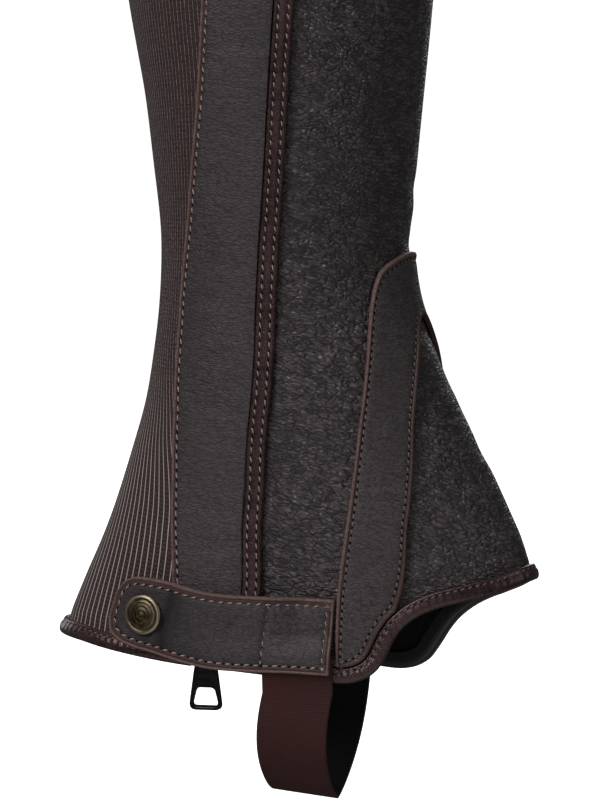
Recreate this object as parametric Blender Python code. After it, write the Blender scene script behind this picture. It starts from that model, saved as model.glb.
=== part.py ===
"""Half chap for the right leg: leather calf and instep panels, a ribbed elastic back,
a side zip under a bound flap, a snap tab, bound edges and an elastic stirrup.

The piece stands filled out as it is worn. X points to the toes, -Y to the outer side
of the leg, Z up. Sizes are in millimetres, angles in degrees: 0 is the front of the
leg, 90 its outer side, 180 the back and -90 its inner side. Heights are measured from
the lowest point of the hem.
"""
import math
from collections import namedtuple

import bmesh
import bpy
import numpy as np
from mathutils import Matrix, Vector
from mathutils.geometry import delaunay_2d_cdt

MM = 0.001

# Where the leg holds the piece: the middle of the calf, just under the top edge
HOLD_HEIGHT = 400.0

# Thicknesses and gaps
LEATHER = 2.0
ELASTIC = 1.8
SEAM_GAP = 0.3
LAY_GAP = 0.35
FLAP_THICK = 1.75
TAPE_THICK = 1.0
STRAP_THICK = 1.6
RIB_RISE = 0.5

# Edge binding: its visible width, and how far it wraps past the leather's own edge
BINDING_WIDTH = 6.0
BINDING_WRAP = 1.1
PANEL_INSET = BINDING_WRAP + SEAM_GAP
BINDING_RISE = 2.2
BINDING_INNER = 1.0

# The stirrup's outer end lies on the hem binding, under the snap tab
STRAP_LEVEL = BINDING_RISE + LAY_GAP

# Zip
ZIP_SLOT = 5.2
ZIP_END_GAP = 6.6
TAPE_WIDTH = 15.0
TAPE_SPLIT = 0.4
SLIDER_HALF_WIDTH = 4.2
SLIDER_CLEARANCE = 0.7
SLIDER_LOW = 5.9
SLIDER_HIGH = 18.0
SLIDER_BACK = -5.3
SLIDER_FACE = -0.3
SLIDER_ROUNDING = 0.9

# Bail: the bar on the slider that the pull hangs on
BAIL_HALF_WIDTH = 1.2
BAIL_HALF_LENGTH = 1.85
BAIL_HALF_TOP = 1.1
BAIL_SHOULDER = 0.9
BAIL_TOP = 1.75
BAIL_HOLE_HALF = 1.05
BAIL_HOLE_TOP = 1.15
BAIL_SUNK = 0.6

# Zip pull: half widths and heights about its pivot
PULL_PIVOT_HEIGHT = 8.5
PULL_PIVOT_OUT = 1.5
PULL_THICK = 1.6
PULL_TOP = 0.7
PULL_TOP_HALF = 3.4
PULL_WAIST = -3.6
PULL_WAIST_HALF = 4.2
PULL_FOOT = -18.7
PULL_FOOT_HALF = 6.1
PULL_CORNER = 1.3
EYE_HALF = 1.7
EYE_TOP = -0.7
EYE_FOOT = -2.75
WINDOW_TOP = -10.4
WINDOW_TOP_HALF = 2.95
WINDOW_FOOT = -16.2
WINDOW_FOOT_HALF = 4.3
WINDOW_CORNER = 0.8

# Flap and its bound free edge
FLAP_FOOT = 15.0
FLAP_BINDING_WIDTH = 7.0
FLAP_BINDING_RISE = 2.9
FLAP_EDGE_MARGIN = 2.0

# The instep band bridges the hollow of the ankle a little higher than the other layers
BAND_LIFT = 0.55

# Snap tab
TAB_THICK = 2.6
TAB_EDGE_DROP = 0.8
TAB_LIFT = 3.6
SNAP_ANGLE = 124.5
SNAP_HEIGHT = 24.3
SNAP_RADIUS = 7.4
SNAP_RISE = 2.6
STUD_RADIUS = 4.5
STUD_NECK_RADIUS = 3.0
STUD_RIM = 0.7
RIVET_FACE_RADIUS = 3.6
RIVET_RISE = 1.2
TAB_SETTLE_RUN = 10.0
TAB_SETTLE_HIGH = 84.0
TAB_SETTLE_LOW = 95.5

# Profile of the snap's cap, from its foot to its middle: radius and height over the tab
CapPoint = namedtuple("CapPoint", "radius rise")
CAP = (
    CapPoint(SNAP_RADIUS - 1.2, 0.0), CapPoint(SNAP_RADIUS, 0.5), CapPoint(SNAP_RADIUS, 1.1),
    CapPoint(SNAP_RADIUS - 0.9, 2.0), CapPoint(SNAP_RADIUS - 2.0, 1.8),
    CapPoint(SNAP_RADIUS - 2.6, SNAP_RISE), CapPoint(1.2, SNAP_RISE),
)

# Stirrup strap
STRAP_WIDTH = 25.8
STRAP_MIDDLE_X = 14.9
STRAP_OUTER_TOP = 10.5
STRAP_INNER_TOP = 15.0
STRAP_FREE_HEIGHT = -3.0
STRAP_LOWEST = -45.4
STRAP_LEAN = 5.0
STRAP_BOW = 1.0
STRAP_FOLD = 1.6
STRAP_TILT = 3.0

# Inner edge of the elastic, on the inner side of the leg
ELASTIC_SEAM_ANGLE = 205.0
RIB_COUNT = 42

Section = namedtuple("Section", "height front back half_width taper")
LEG = (
    Section(-10, 99.0, -87.0, 37.0, 0.30),
    Section(4, 98.8, -85.8, 38.2, 0.29),
    Section(16, 98.0, -82.6, 39.0, 0.28),
    Section(35, 95.6, -74.6, 40.5, 0.26),
    Section(50, 91.4, -68.0, 41.0, 0.24),
    Section(65, 84.9, -62.3, 41.0, 0.22),
    Section(83, 75.6, -56.3, 41.0, 0.18),
    Section(101, 66.4, -51.0, 41.0, 0.12),
    Section(116, 59.4, -48.2, 41.0, 0.08),
    Section(138, 50.6, -45.3, 41.3, 0.05),
    Section(158, 47.5, -44.4, 42.2, 0.03),
    Section(175, 48.7, -45.5, 43.7, 0.0),
    Section(212, 52.4, -50.0, 47.6, 0.0),
    Section(250, 56.0, -56.6, 52.0, 0.0),
    Section(300, 61.0, -63.0, 56.0, 0.0),
    Section(340, 62.0, -64.0, 57.0, 0.0),
    Section(385, 60.0, -61.0, 55.5, 0.0),
    Section(430, 57.5, -57.0, 53.5, 0.0),
)

# Low on the leg, the inner side's edges and seams lie further forward than the outer
# side's: the most that they do, in degrees, and its shares round the leg and up it
INNER_LEAD = 10.0
Lead = namedtuple("Lead", "at share")
LEAD_ROUND = (
    Lead(0, 0.0), Lead(10, 0.0), Lead(20, 0.12), Lead(35, 0.5), Lead(45, 0.85), Lead(53, 1.0),
    Lead(80, 1.0), Lead(96, 0.5), Lead(112, 0.0), Lead(130, 0.0), Lead(180, 0.0),
)
LEAD_UP = (
    Lead(-60, 0.46), Lead(6, 0.46), Lead(12, 0.53), Lead(17, 0.62), Lead(21, 0.71),
    Lead(25, 0.8), Lead(31, 0.86), Lead(45, 0.8), Lead(75, 0.4), Lead(110, 0.0),
    Lead(150, 0.0), Lead(430, 0.0),
)

# The closing side: angles of the zip and of the flap's sewn and free edges
Closing = namedtuple("Closing", "height zip sewn free")
CLOSING = (
    Closing(0, 105.9, 115.0, 95.0),
    Closing(18, 107.5, 117.4, 95.0),
    Closing(35, 109.6, 120.0, 95.6),
    Closing(56, 110.8, 125.0, 96.7),
    Closing(74, 110.8, 128.0, 95.4),
    Closing(92, 109.2, 131.0, 93.3),
    Closing(110, 106.2, 133.0, 89.2),
    Closing(129, 102.0, 132.2, 84.6),
    Closing(148, 97.8, 130.2, 80.8),
    Closing(177, 92.2, 122.9, 77.3),
    Closing(213, 87.2, 113.6, 74.6),
    Closing(250, 83.0, 106.0, 71.1),
    Closing(300, 79.5, 100.2, 68.0),
    Closing(340, 78.5, 98.6, 67.4),
    Closing(385, 79.0, 99.5, 68.0),
    Closing(430, 80.0, 101.5, 69.0),
)

# Points on edges; the inner side of the leg mirrors the outer one, but for its lead
Edge = namedtuple("Edge", "angle height")
HEM = (
    Edge(180, 13.8), Edge(165, 13.4), Edge(150, 12.3), Edge(139.5, 10.6),
    Edge(129, 8.7), Edge(116, 6.3), Edge(107, 4.9), Edge(98, 3.7),
    Edge(88, 2.1), Edge(80, 0.7), Edge(74.5, 0.1), Edge(70.6, 1.2),
    Edge(67.4, 3.8), Edge(65.4, 7.2), Edge(63.9, 11.5), Edge(62.2, 16.8),
    Edge(59.8, 21.3), Edge(55.8, 25.2), Edge(50, 28.2), Edge(43.7, 30.0),
    Edge(37.6, 31.4), Edge(30.5, 32.9), Edge(20.9, 35.0), Edge(10, 36.5), Edge(0, 37.0),
)
BAND_BACK = (
    Edge(76.2, 6.8), Edge(76.8, 28.6), Edge(76.5, 38.0), Edge(75.2, 50.0),
    Edge(71.7, 65.8), Edge(65.6, 84.4), Edge(59.9, 98.3), Edge(54.1, 110.1),
    Edge(47.2, 123.8), Edge(42.2, 132.9), Edge(38.2, 140.3), Edge(33.7, 146.9),
    Edge(28.9, 151.2), Edge(20.3, 154.2), Edge(10.5, 156.1), Edge(0, 156.8),
)
BAND_FRONT = (
    Edge(61.6, 28.6), Edge(59.8, 36.2), Edge(56.6, 54.6), Edge(52.9, 65.6),
    Edge(48.0, 77.5), Edge(40.7, 93.1), Edge(33.0, 104.8), Edge(22.0, 118.2),
    Edge(10.5, 129.5), Edge(0, 134.0),
)
BAND_SEAM = (
    Edge(70.2, 3.9), Edge(69.9, 16.0), Edge(69.3, 30.0), Edge(66.2, 52.0),
    Edge(60.0, 74.0), Edge(50.6, 95.5), Edge(38.0, 117.0), Edge(25.0, 133.0),
    Edge(11.0, 143.0), Edge(0, 145.5),
)

# Top edge: a little lower at the back of the knee and at the front
TOP = (Edge(0, 425.0), Edge(60, 429.0), Edge(100, 430.0), Edge(140, 419.0), Edge(180, 405.0))

# Upper and lower edges of the snap tab, from its sewn end to its round end
TabSpan = namedtuple("TabSpan", "angle low high")
TAB = (
    TabSpan(77.3, 4.0, 31.3), TabSpan(86.0, 4.7, 32.0), TabSpan(96.0, 4.9, 32.6),
    TabSpan(105.0, 5.4, 32.9), TabSpan(112.0, 7.4, 34.2), TabSpan(120.0, 10.3, 36.5),
    TabSpan(127.0, 12.4, 37.5), TabSpan(131.5, 14.6, 37.3), TabSpan(134.6, 17.8, 35.2),
    TabSpan(136.2, 22.4, 31.6),
)

# Cross-section of an edge binding: distance in from the edge, height over the skin
BindingPoint = namedtuple("BindingPoint", "inward out")
UNDER_SKIN = -LEATHER - LAY_GAP
BINDING_SECTION = (
    BindingPoint(BINDING_WIDTH, LAY_GAP),
    BindingPoint(BINDING_WRAP, LAY_GAP),
    BindingPoint(BINDING_WRAP, UNDER_SKIN),
    BindingPoint(BINDING_WIDTH, UNDER_SKIN),
    BindingPoint(BINDING_WIDTH, UNDER_SKIN - BINDING_INNER),
    BindingPoint(0.5, UNDER_SKIN - BINDING_INNER),
    BindingPoint(0.0, UNDER_SKIN),
    BindingPoint(0.0, BINDING_RISE - 0.9),
    BindingPoint(0.8, BINDING_RISE),
    BindingPoint(BINDING_WIDTH - 1.6, BINDING_RISE),
    BindingPoint(BINDING_WIDTH, BINDING_RISE - 1.0),
)

# Heights of the elastic's rows above its lower edge, closer where the ankle bends, and
# how far from each edge its ribs are pressed flat under a binding
ELASTIC_ROWS = (24, 42, 60, 80, 100, 120, 138, 154, 170, 188, 207, 228, 252, 285, 325, 370)
RIB_PRESSED = 5.4
RIB_FULL = 8.4

# Spacing of the elastic's ribs
RibPitch = namedtuple("RibPitch", "height pitch")
RIB_PITCH = (
    RibPitch(0, 3.5), RibPitch(60, 3.4), RibPitch(110, 3.15), RibPitch(158, 2.9),
    RibPitch(200, 2.55), RibPitch(250, 2.25), RibPitch(430, 2.2),
)

# Mesh spacing on the panels: a column of points every so many degrees, and a row every
# so many millimetres where the ankle bends and where the calf runs straight
COLUMN_STEP = 7.0
ROW_STEP = 10.0
CALF_ROW_STEP = 23.0
CALF_START = 200.0

# Mesh spacing on the zip pull: so wide that its flat faces have no points inside them
PLATE_STEP = 40.0


def smooth_value(table, column, at, key=0):
    """A table's column at a value of its key column, on a smooth curve through its rows."""
    rows = sorted(table, key=lambda row: row[key])
    index = rows[0]._fields.index(column)
    keys = [row[key] for row in rows]
    values = [row[index] for row in rows]
    at = min(max(at, keys[0]), keys[-1])
    low = 0
    while low < len(keys) - 2 and at > keys[low + 1]:
        low += 1

    def slope(i):
        before = max(i - 1, 0)
        after = min(i + 1, len(keys) - 1)
        return (values[after] - values[before]) / (keys[after] - keys[before])

    span = keys[low + 1] - keys[low]
    t = (at - keys[low]) / span
    rise = values[low + 1] - values[low]
    bend = (slope(low) * span - rise) * (1 - t) - (slope(low + 1) * span - rise) * t
    return values[low] + t * rise + t * (1 - t) * bend


def wrapped(angle):
    """The same place as an angle between 0 and 180 on the outer side of the leg."""
    return abs((angle + 180.0) % 360.0 - 180.0)


def inner_lead(angle, height):
    """Degrees by which a place on the inner side of the leg lies further forward."""
    round_leg = -((angle + 180.0) % 360.0 - 180.0)
    share = smooth_value(LEAD_ROUND, "share", round_leg) * smooth_value(LEAD_UP, "share", height)
    return INNER_LEAD * share


def inner_angle(turn, height):
    """The angle of the place on the inner side that lies at a plain turn round the leg."""
    angle = turn
    for _ in range(40):
        angle = turn - inner_lead(angle, height)
    return angle


def leg_point(angle, height):
    angle = angle + inner_lead(angle, height)
    front = smooth_value(LEG, "front", height)
    back = smooth_value(LEG, "back", height)
    half_width = smooth_value(LEG, "half_width", height)
    taper = smooth_value(LEG, "taper", height)
    turn = math.radians(angle)
    narrowing = 1 - taper * (1 + math.cos(turn)) / 2
    return Vector((
        (front + back) / 2 + (front - back) / 2 * math.cos(turn),
        -half_width * math.sin(turn) * narrowing,
        height,
    ))


def leg_slopes(angle, height):
    """How the skin runs: its step per degree and its step per millimetre of height."""
    per_degree = leg_point(angle + 0.5, height) - leg_point(angle - 0.5, height)
    per_height = (leg_point(angle, height + 1) - leg_point(angle, height - 1)) / 2
    return per_degree, per_height


def leg_normal(angle, height):
    per_degree, per_height = leg_slopes(angle, height)
    return per_height.cross(per_degree).normalized()


def skin(angle, height, out=0.0):
    """A point on the leather's outer face, moved out along the face's normal."""
    return leg_point(angle, height) + leg_normal(angle, height) * out


def moved(place, along_angle_mm, along_height_mm=0.0):
    """A place on the skin moved by millimetres round the leg and up it."""
    per_degree, per_height = leg_slopes(*place)
    return (place[0] + along_angle_mm / per_degree.length,
            place[1] + along_height_mm / per_height.length)


def shifted(path, distance):
    """A path on the skin moved sideways, up the leg for one that runs towards lower angles."""
    result = []
    for i, (angle, height) in enumerate(path):
        before = path[max(i - 1, 0)]
        after = path[min(i + 1, len(path) - 1)]
        tangent = leg_point(*after) - leg_point(*before)
        normal = leg_normal(angle, height)
        side = normal.cross(tangent).normalized() * distance
        per_degree, per_height = leg_slopes(angle, height)
        slopes = np.array([per_degree, per_height]).T
        step, _, _, _ = np.linalg.lstsq(slopes, np.array(side), rcond=None)
        result.append((angle + float(step[0]), height + float(step[1])))
    return result


def curve_through(edges, spacing):
    """Places on a smooth curve through an edge's points, about evenly spaced."""
    points = [Vector(edge) for edge in edges]
    ends = [points[0] * 2 - points[1]] + points + [points[-1] * 2 - points[-2]]
    places = []
    for a, b, c, d in zip(ends, ends[1:], ends[2:], ends[3:]):
        run = (leg_point(*c) - leg_point(*b)).length
        steps = max(1, round(run / spacing))
        for k in range(steps):
            t = k / steps
            point = (b * 2 + (c - a) * t + (a * 2 - b * 5 + c * 4 - d) * t * t
                     + (b * 3 - a - c * 3 + d) * t ** 3) / 2
            places.append(tuple(point))
    places.append(tuple(points[-1]))
    return places


def mirrored(places):
    """The same places on the inner side of the leg, in the opposite order."""
    return [(-angle, height) for angle, height in reversed(places)]


def hem_height(angle):
    """Height of the hem's lower edge behind the stirrup, where it is a function of angle."""
    rows = [edge for edge in HEM if edge.angle >= 74]
    return smooth_value(rows, "height", wrapped(angle))


def top_height(angle):
    return smooth_value(TOP, "height", wrapped(angle))


def closing(column, height):
    return smooth_value(CLOSING, column, height)


def clean_scene():
    for thing in list(bpy.data.objects):
        bpy.data.objects.remove(thing)


def material(name, colour, roughness, metallic=0.0):
    made = bpy.data.materials.new(name)
    made.use_nodes = True
    shader = made.node_tree.nodes["Principled BSDF"]
    shader.inputs["Base Color"].default_value = (*colour, 1.0)
    shader.inputs["Roughness"].default_value = roughness
    shader.inputs["Metallic"].default_value = metallic
    return made


def solid(name, points, faces, look, smooth=True):
    """A named object from points in millimetres and faces, with its faces pointing out."""
    mesh = bpy.data.meshes.new(name)
    lowered = Vector((0, 0, HOLD_HEIGHT))
    mesh.from_pydata([(point - lowered) * MM for point in points], [], faces)
    shape = bmesh.new()
    shape.from_mesh(mesh)
    bmesh.ops.recalc_face_normals(shape, faces=shape.faces)
    if shape.calc_volume(signed=True) < 0:
        bmesh.ops.reverse_faces(shape, faces=shape.faces)
    shape.to_mesh(mesh)
    shape.free()
    if smooth:
        mesh.shade_smooth()
        mesh.set_sharp_from_angle(angle=math.radians(35))
    mesh.materials.append(look)
    made = bpy.data.objects.new(name, mesh)
    bpy.context.collection.objects.link(made)
    return made


def grid_solid(name, outer, inner, look):
    """A wall between two grids of points; a ring of faces closes it on all four sides."""
    rows = len(outer)
    columns = len(outer[0])
    points = [point for row in outer for point in row]
    points += [point for row in inner for point in row]
    below = rows * columns

    def at(row, column):
        return row * columns + column

    faces = []
    for r in range(rows - 1):
        for c in range(columns - 1):
            quad = [at(r, c), at(r, c + 1), at(r + 1, c + 1), at(r + 1, c)]
            faces.append(quad)
            faces.append([below + i for i in reversed(quad)])
    border = [at(0, c) for c in range(columns)]
    border += [at(r, columns - 1) for r in range(1, rows)]
    border += [at(rows - 1, c) for c in range(columns - 2, -1, -1)]
    border += [at(r, 0) for r in range(rows - 2, 0, -1)]
    for a, b in zip(border, border[1:] + border[:1]):
        faces.append([b, a, below + a, below + b])
    return solid(name, points, faces, look)


def laid_grid(name, places, look, inner, outer):
    """A wall on a grid of places on the leg, between two heights over the skin."""
    def level(value, row, column):
        return value(row, column) if callable(value) else value

    def raised(value):
        return [[skin(*place, level(value, r, c)) for c, place in enumerate(row)]
                for r, row in enumerate(places)]

    return grid_solid(name, raised(outer), raised(inner), look)


def inside(point, outline):
    """Whether a flat point lies inside a closed outline."""
    x, y = point
    hits = 0
    for (ax, ay), (bx, by) in zip(outline, outline[1:] + outline[:1]):
        if (ay > y) != (by > y) and x < ax + (y - ay) / (by - ay) * (bx - ax):
            hits += 1
    return hits % 2 == 1


def distance_to(point, outline):
    """Distance from a flat point to the nearest stretch of a closed outline."""
    starts = np.array(outline)
    runs = np.roll(starts, -1, axis=0) - starts
    gaps = np.array(point) - starts
    lengths = np.maximum((runs ** 2).sum(axis=1), 1e-12)
    along = np.clip((gaps * runs).sum(axis=1) / lengths, 0, 1)
    return float(np.sqrt(((gaps - runs * along[:, None]) ** 2).sum(axis=1)).min())


def filled(outline, holes=()):
    """Flat points, triangles and border edges that fill an outline and leave its holes.

    One unit of the flat plane is one step of the mesh, so inner points sit on whole
    numbers wherever they are clear of the outline.
    """
    loops = [list(outline)] + [list(hole) for hole in holes]
    points = [point for loop in loops for point in loop]
    edges = []
    start = 0
    for loop in loops:
        count = len(loop)
        edges += [(start + i, start + (i + 1) % count) for i in range(count)]
        start += count
    lows = [math.floor(min(p[axis] for p in outline)) for axis in (0, 1)]
    highs = [math.ceil(max(p[axis] for p in outline)) for axis in (0, 1)]
    for x in range(lows[0], highs[0] + 1):
        for y in range(lows[1], highs[1] + 1):
            place = (float(x), float(y))
            if not inside(place, loops[0]) or any(inside(place, h) for h in loops[1:]):
                continue
            if min(distance_to(place, loop) for loop in loops) > 0.4:
                points.append(place)
    flat, _, triangles, _, _, _ = delaunay_2d_cdt(
        [Vector(p) for p in points], edges, [], 1, 1e-5)
    kept = []
    for triangle in triangles:
        middle = sum((flat[i] for i in triangle), Vector((0, 0))) / 3
        if not any(inside(middle, hole) for hole in loops[1:]):
            kept.append(list(triangle))
    used = {}
    for triangle in kept:
        for a, b in zip(triangle, triangle[1:] + triangle[:1]):
            used[frozenset((a, b))] = used.get(frozenset((a, b)), []) + [(a, b)]
    border = [pairs[0] for pairs in used.values() if len(pairs) == 1]
    return flat, kept, border


def filled_solid(name, flat_shape, place_outer, place_inner, look, smooth=True):
    """A wall over a filled outline, with one rule for each of its two faces."""
    flat, triangles, border = flat_shape
    points = [place_outer(p) for p in flat] + [place_inner(p) for p in flat]
    below = len(flat)
    faces = list(triangles)
    faces += [[below + i for i in reversed(triangle)] for triangle in triangles]
    faces += [[b, a, below + a, below + b] for a, b in border]
    return solid(name, points, faces, look, smooth)


def to_mesh_plane(place):
    """A place on the leg in mesh steps: columns round the leg, rows up it."""
    angle, height = place
    if height < CALF_START:
        row = height / ROW_STEP
    else:
        row = CALF_START / ROW_STEP + (height - CALF_START) / CALF_ROW_STEP
    return (angle / COLUMN_STEP, row)


def from_mesh_plane(point):
    angle = point[0] * COLUMN_STEP
    row = point[1] - CALF_START / ROW_STEP
    height = CALF_START + row * (CALF_ROW_STEP if row > 0 else ROW_STEP)
    return angle, height


def panel(name, outline, look, thickness):
    """A leather panel cut to an outline on the leg, between the skin and its inner face."""
    shape = filled([to_mesh_plane(place) for place in outline])
    return filled_solid(
        name, shape,
        lambda point: skin(*from_mesh_plane(point)),
        lambda point: skin(*from_mesh_plane(point), -thickness),
        look)


def hem_stretch(first_angle, last_angle, spacing):
    """The hem's lower edge between two angles, running towards lower angles."""
    outer = curve_through(HEM, spacing)
    whole = outer[:-1] + mirrored(outer)
    behind = [(angle - 360.0, height) for angle, height in whole]
    whole = whole[:-1] + behind
    stretch = [place for place in whole if last_angle < place[0] < first_angle]
    first = (first_angle, hem_height(first_angle))
    last = (last_angle, hem_height(last_angle))
    return [first] + stretch + [last]


def top_stretch(first_angle, last_angle, step):
    """The top edge between two angles, running towards higher angles."""
    count = max(1, round((last_angle - first_angle) / step))
    angles = [first_angle + (last_angle - first_angle) * i / count for i in range(count + 1)]
    return [(angle, top_height(angle)) for angle in angles]


def zip_edge(side, inset, height):
    """Angle of a line beside the zip: side -1 is towards the front, 1 towards the back."""
    return moved((closing("zip", height), height), side * inset)[0]


def elastic_rows():
    """Heights of the elastic's rows as fractions between its lower and upper edges,
    and how far its ribs stand out on each."""
    full = top_height(ELASTIC_SEAM_ANGLE) - hem_height(ELASTIC_SEAM_ANGLE) - 2 * PANEL_INSET
    low = [0.0, RIB_PRESSED, RIB_FULL]
    high = [full - RIB_FULL, full - RIB_PRESSED, full]
    fractions = [value / full for value in low + list(ELASTIC_ROWS) + high]
    rises = [0.0, 0.0] + [RIB_RISE] * (len(fractions) - 4) + [0.0, 0.0]
    return fractions, rises


def elastic_height(fraction, angle):
    low = hem_height(angle) + PANEL_INSET
    high = top_height(angle) - PANEL_INSET
    return low + fraction * (high - low)


def elastic_seam(side):
    """The seam on the inner side of the leg, moved by half its gap to one side."""
    fractions, _ = elastic_rows()
    places = []
    for fraction in fractions:
        height = elastic_height(fraction, ELASTIC_SEAM_ANGLE)
        places.append(moved((ELASTIC_SEAM_ANGLE, height), side * SEAM_GAP / 2))
    return places


def elastic_panel(look):
    """The ribbed back panel. Its ribs keep their spacing and run out under the flap."""
    fractions, rises = elastic_rows()
    columns = RIB_COUNT * 2
    outer = []
    inner = []
    for fraction, rise in zip(fractions, rises):
        height = elastic_height(fraction, 170.0)
        seam_height = elastic_height(fraction, ELASTIC_SEAM_ANGLE)
        seam_angle = moved((ELASTIC_SEAM_ANGLE, seam_height), -SEAM_GAP / 2)[0]
        zip_angle = zip_edge(1, ZIP_SLOT, elastic_height(fraction, 108.0))
        flap_height = elastic_height(fraction, 120.0)
        flap_angle = moved((closing("sewn", flap_height), flap_height), FLAP_EDGE_MARGIN)[0]
        places = rib_places(seam_angle, flap_angle, zip_angle, height, columns)
        row = []
        for k, (angle, shown) in enumerate(places):
            place = (angle, elastic_height(fraction, angle))
            ridge = rise if shown and k % 2 == 1 else 0.0
            row.append((place, ridge))
        outer.append([skin(*place, ridge) for place, ridge in row])
        inner.append([skin(*place, -ELASTIC) for place, _ in row[::4]])
    return ribbed_solid("elastic_panel", outer, inner, 4, look)


def rib_places(seam_angle, flap_angle, zip_angle, height, columns):
    """Angles of the ribs' crests and valleys on one row, counted from the inner seam.
    Those past the flap's sewn edge are crowded, flat, between it and the zip."""
    pitch = smooth_value(RIB_PITCH, "pitch", height)
    shown_width = arc_between(flap_angle, seam_angle, height)
    shown_columns = min(columns - 8, 2 * int(shown_width / pitch))
    places = []
    for k in range(columns + 1):
        if k <= shown_columns:
            share = k / shown_columns
            places.append((seam_angle + (flap_angle - seam_angle) * share, True))
        else:
            share = (k - shown_columns) / (columns - shown_columns)
            places.append((flap_angle + (zip_angle - flap_angle) * share, False))
    return places


def arc_between(low_angle, high_angle, height):
    """Length round the leg between two angles."""
    count = 12
    angles = [low_angle + (high_angle - low_angle) * i / count for i in range(count + 1)]
    points = [leg_point(angle, height) for angle in angles]
    return sum((b - a).length for a, b in zip(points, points[1:]))


def ribbed_solid(name, outer, inner, ratio, look):
    """A wall whose outer grid has several columns for each one of its plain inner grid."""
    rows = len(outer)
    columns = len(outer[0])
    inner_columns = len(inner[0])
    points = [point for row in outer for point in row]
    points += [point for row in inner for point in row]
    below = rows * columns
    faces = []
    for r in range(rows - 1):
        for c in range(columns - 1):
            a = r * columns + c
            faces.append([a, a + 1, a + columns + 1, a + columns])
        for c in range(inner_columns - 1):
            a = below + r * inner_columns + c
            faces.append([a + inner_columns, a + inner_columns + 1, a + 1, a])
        for out_column, in_column in ((0, 0), (columns - 1, inner_columns - 1)):
            a = r * columns + out_column
            b = below + r * inner_columns + in_column
            faces.append([a, a + columns, b + inner_columns, b])
    for r in (0, rows - 1):
        for c in range(inner_columns - 1):
            edge = [r * columns + c * ratio + i for i in range(ratio + 1)]
            start = below + r * inner_columns + c
            faces.append(edge + [start + 1, start])
    return solid(name, points, faces, look)


def calf_panel(look):
    """Front and sides of the leg above the instep band, and down behind it on each side."""
    hem = shifted(hem_stretch(zip_edge(-1, ZIP_SLOT, 5.0), -155.0, 7.0), PANEL_INSET)
    seam = shifted(band_seam(), SEAM_GAP / 2)
    outer_hem = [place for place in hem if place[0] > seam[0][0] + 1.0]
    inner_hem = [place for place in hem if place[0] < seam[-1][0] - 1.0][:-1]
    inner_seam = [(angle - 360.0, height) for angle, height in elastic_seam(1)]
    zip_top = zip_edge(-1, ZIP_SLOT, top_height(80))
    top = top_stretch(inner_seam[-1][0], zip_top, 8.0)[1:]
    rim = [(angle, height - PANEL_INSET) for angle, height in top]
    zip_side = [(zip_edge(-1, ZIP_SLOT, height), height) for height in range(405, 12, -12)]
    outline = outer_hem + seam + inner_hem + inner_seam + rim + zip_side
    return panel("calf_panel", outline, look, LEATHER)


def band_seam():
    """The seam under the instep band, from the outer hem over the ankle to the inner hem."""
    outer = curve_through(BAND_SEAM, 8.0)
    return outer[:-1] + mirrored(outer)


def instep_panel(look):
    """The flare over the foot, between the band's seam and the hem."""
    seam = shifted(band_seam(), -SEAM_GAP / 2)
    hem = shifted(hem_stretch(100.0, -100.0, 5.0), PANEL_INSET)
    front_hem = [place for place in hem if abs(place[0]) < seam[0][0] - 0.6]
    return panel("instep_panel", list(reversed(seam)) + front_hem, look, LEATHER)


def instep_band(look):
    """The smooth band that covers the seam and runs over the ankle."""
    back = curve_through(BAND_BACK, 7.0)
    back = back[:-1] + mirrored(back)
    foot = band_foot()
    outer_foot = [place for place in foot if place[0] > 0]
    inner_foot = [place for place in foot if place[0] < 0]
    front = curve_through(BAND_FRONT, 7.0)[1:]
    front = outer_foot + front[:-1] + mirrored(front) + inner_foot
    return laid_grid("instep_band", rungs(back, front, 54, 5), look,
                     BAND_LIFT, BAND_LIFT + FLAP_THICK)


def band_foot():
    """Where the band meets the hem's binding: along the binding's upper edge."""
    edge = shifted(hem_stretch(76.6, -76.6, 2.5), BINDING_WIDTH + SEAM_GAP)
    return [place for place in edge if abs(place[0]) > BAND_FRONT[0].angle]


def resampled(path, count):
    """A path's places, evenly spaced by their length along the leg."""
    points = [leg_point(*place) for place in path]
    lengths = [0.0]
    for a, b in zip(points, points[1:]):
        lengths.append(lengths[-1] + (b - a).length)
    stations = np.linspace(0.0, lengths[-1], count)
    angles = np.interp(stations, lengths, [place[0] for place in path])
    heights = np.interp(stations, lengths, [place[1] for place in path])
    return list(zip(angles.tolist(), heights.tolist()))


def rungs(first_path, last_path, rows, columns):
    """A grid of places between two paths that run the same way."""
    firsts = resampled(first_path, rows)
    lasts = resampled(last_path, rows)
    grid = []
    for a, b in zip(firsts, lasts):
        shares = [i / (columns - 1) for i in range(columns)]
        grid.append([(a[0] + (b[0] - a[0]) * s, a[1] + (b[1] - a[1]) * s) for s in shares])
    return grid


def flap_heights():
    top = top_height(66) - BINDING_WIDTH - 2 * SEAM_GAP
    low = np.arange(FLAP_FOOT, CALF_START, 12.0).tolist()
    count = 10
    return low + np.linspace(CALF_START + 8, top, count).tolist()


def zip_flap(look):
    """The flap over the zip, sewn down along its back edge."""
    rows = []
    for height in flap_heights():
        sewn = closing("sewn", height)
        free = moved((closing("free", height), height), FLAP_BINDING_WIDTH + SEAM_GAP)[0]
        rows.append([(sewn + (free - sewn) * i / 6, height) for i in range(7)])
    return laid_grid("zip_flap", rows, look, LAY_GAP, LAY_GAP + FLAP_THICK)


def flap_binding(look):
    """The turned strip along the flap's free edge, a little plumper than the flap."""
    rows = []
    for height in flap_heights():
        free = closing("free", height)
        inner = moved((free, height), FLAP_BINDING_WIDTH)[0]
        rows.append([(inner + (free - inner) * i / 3, height) for i in range(4)])

    def rise(_, column):
        return FLAP_BINDING_RISE if column in (1, 2) else FLAP_BINDING_RISE - 0.6

    return laid_grid("flap_binding", rows, look, LAY_GAP, rise)


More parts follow.
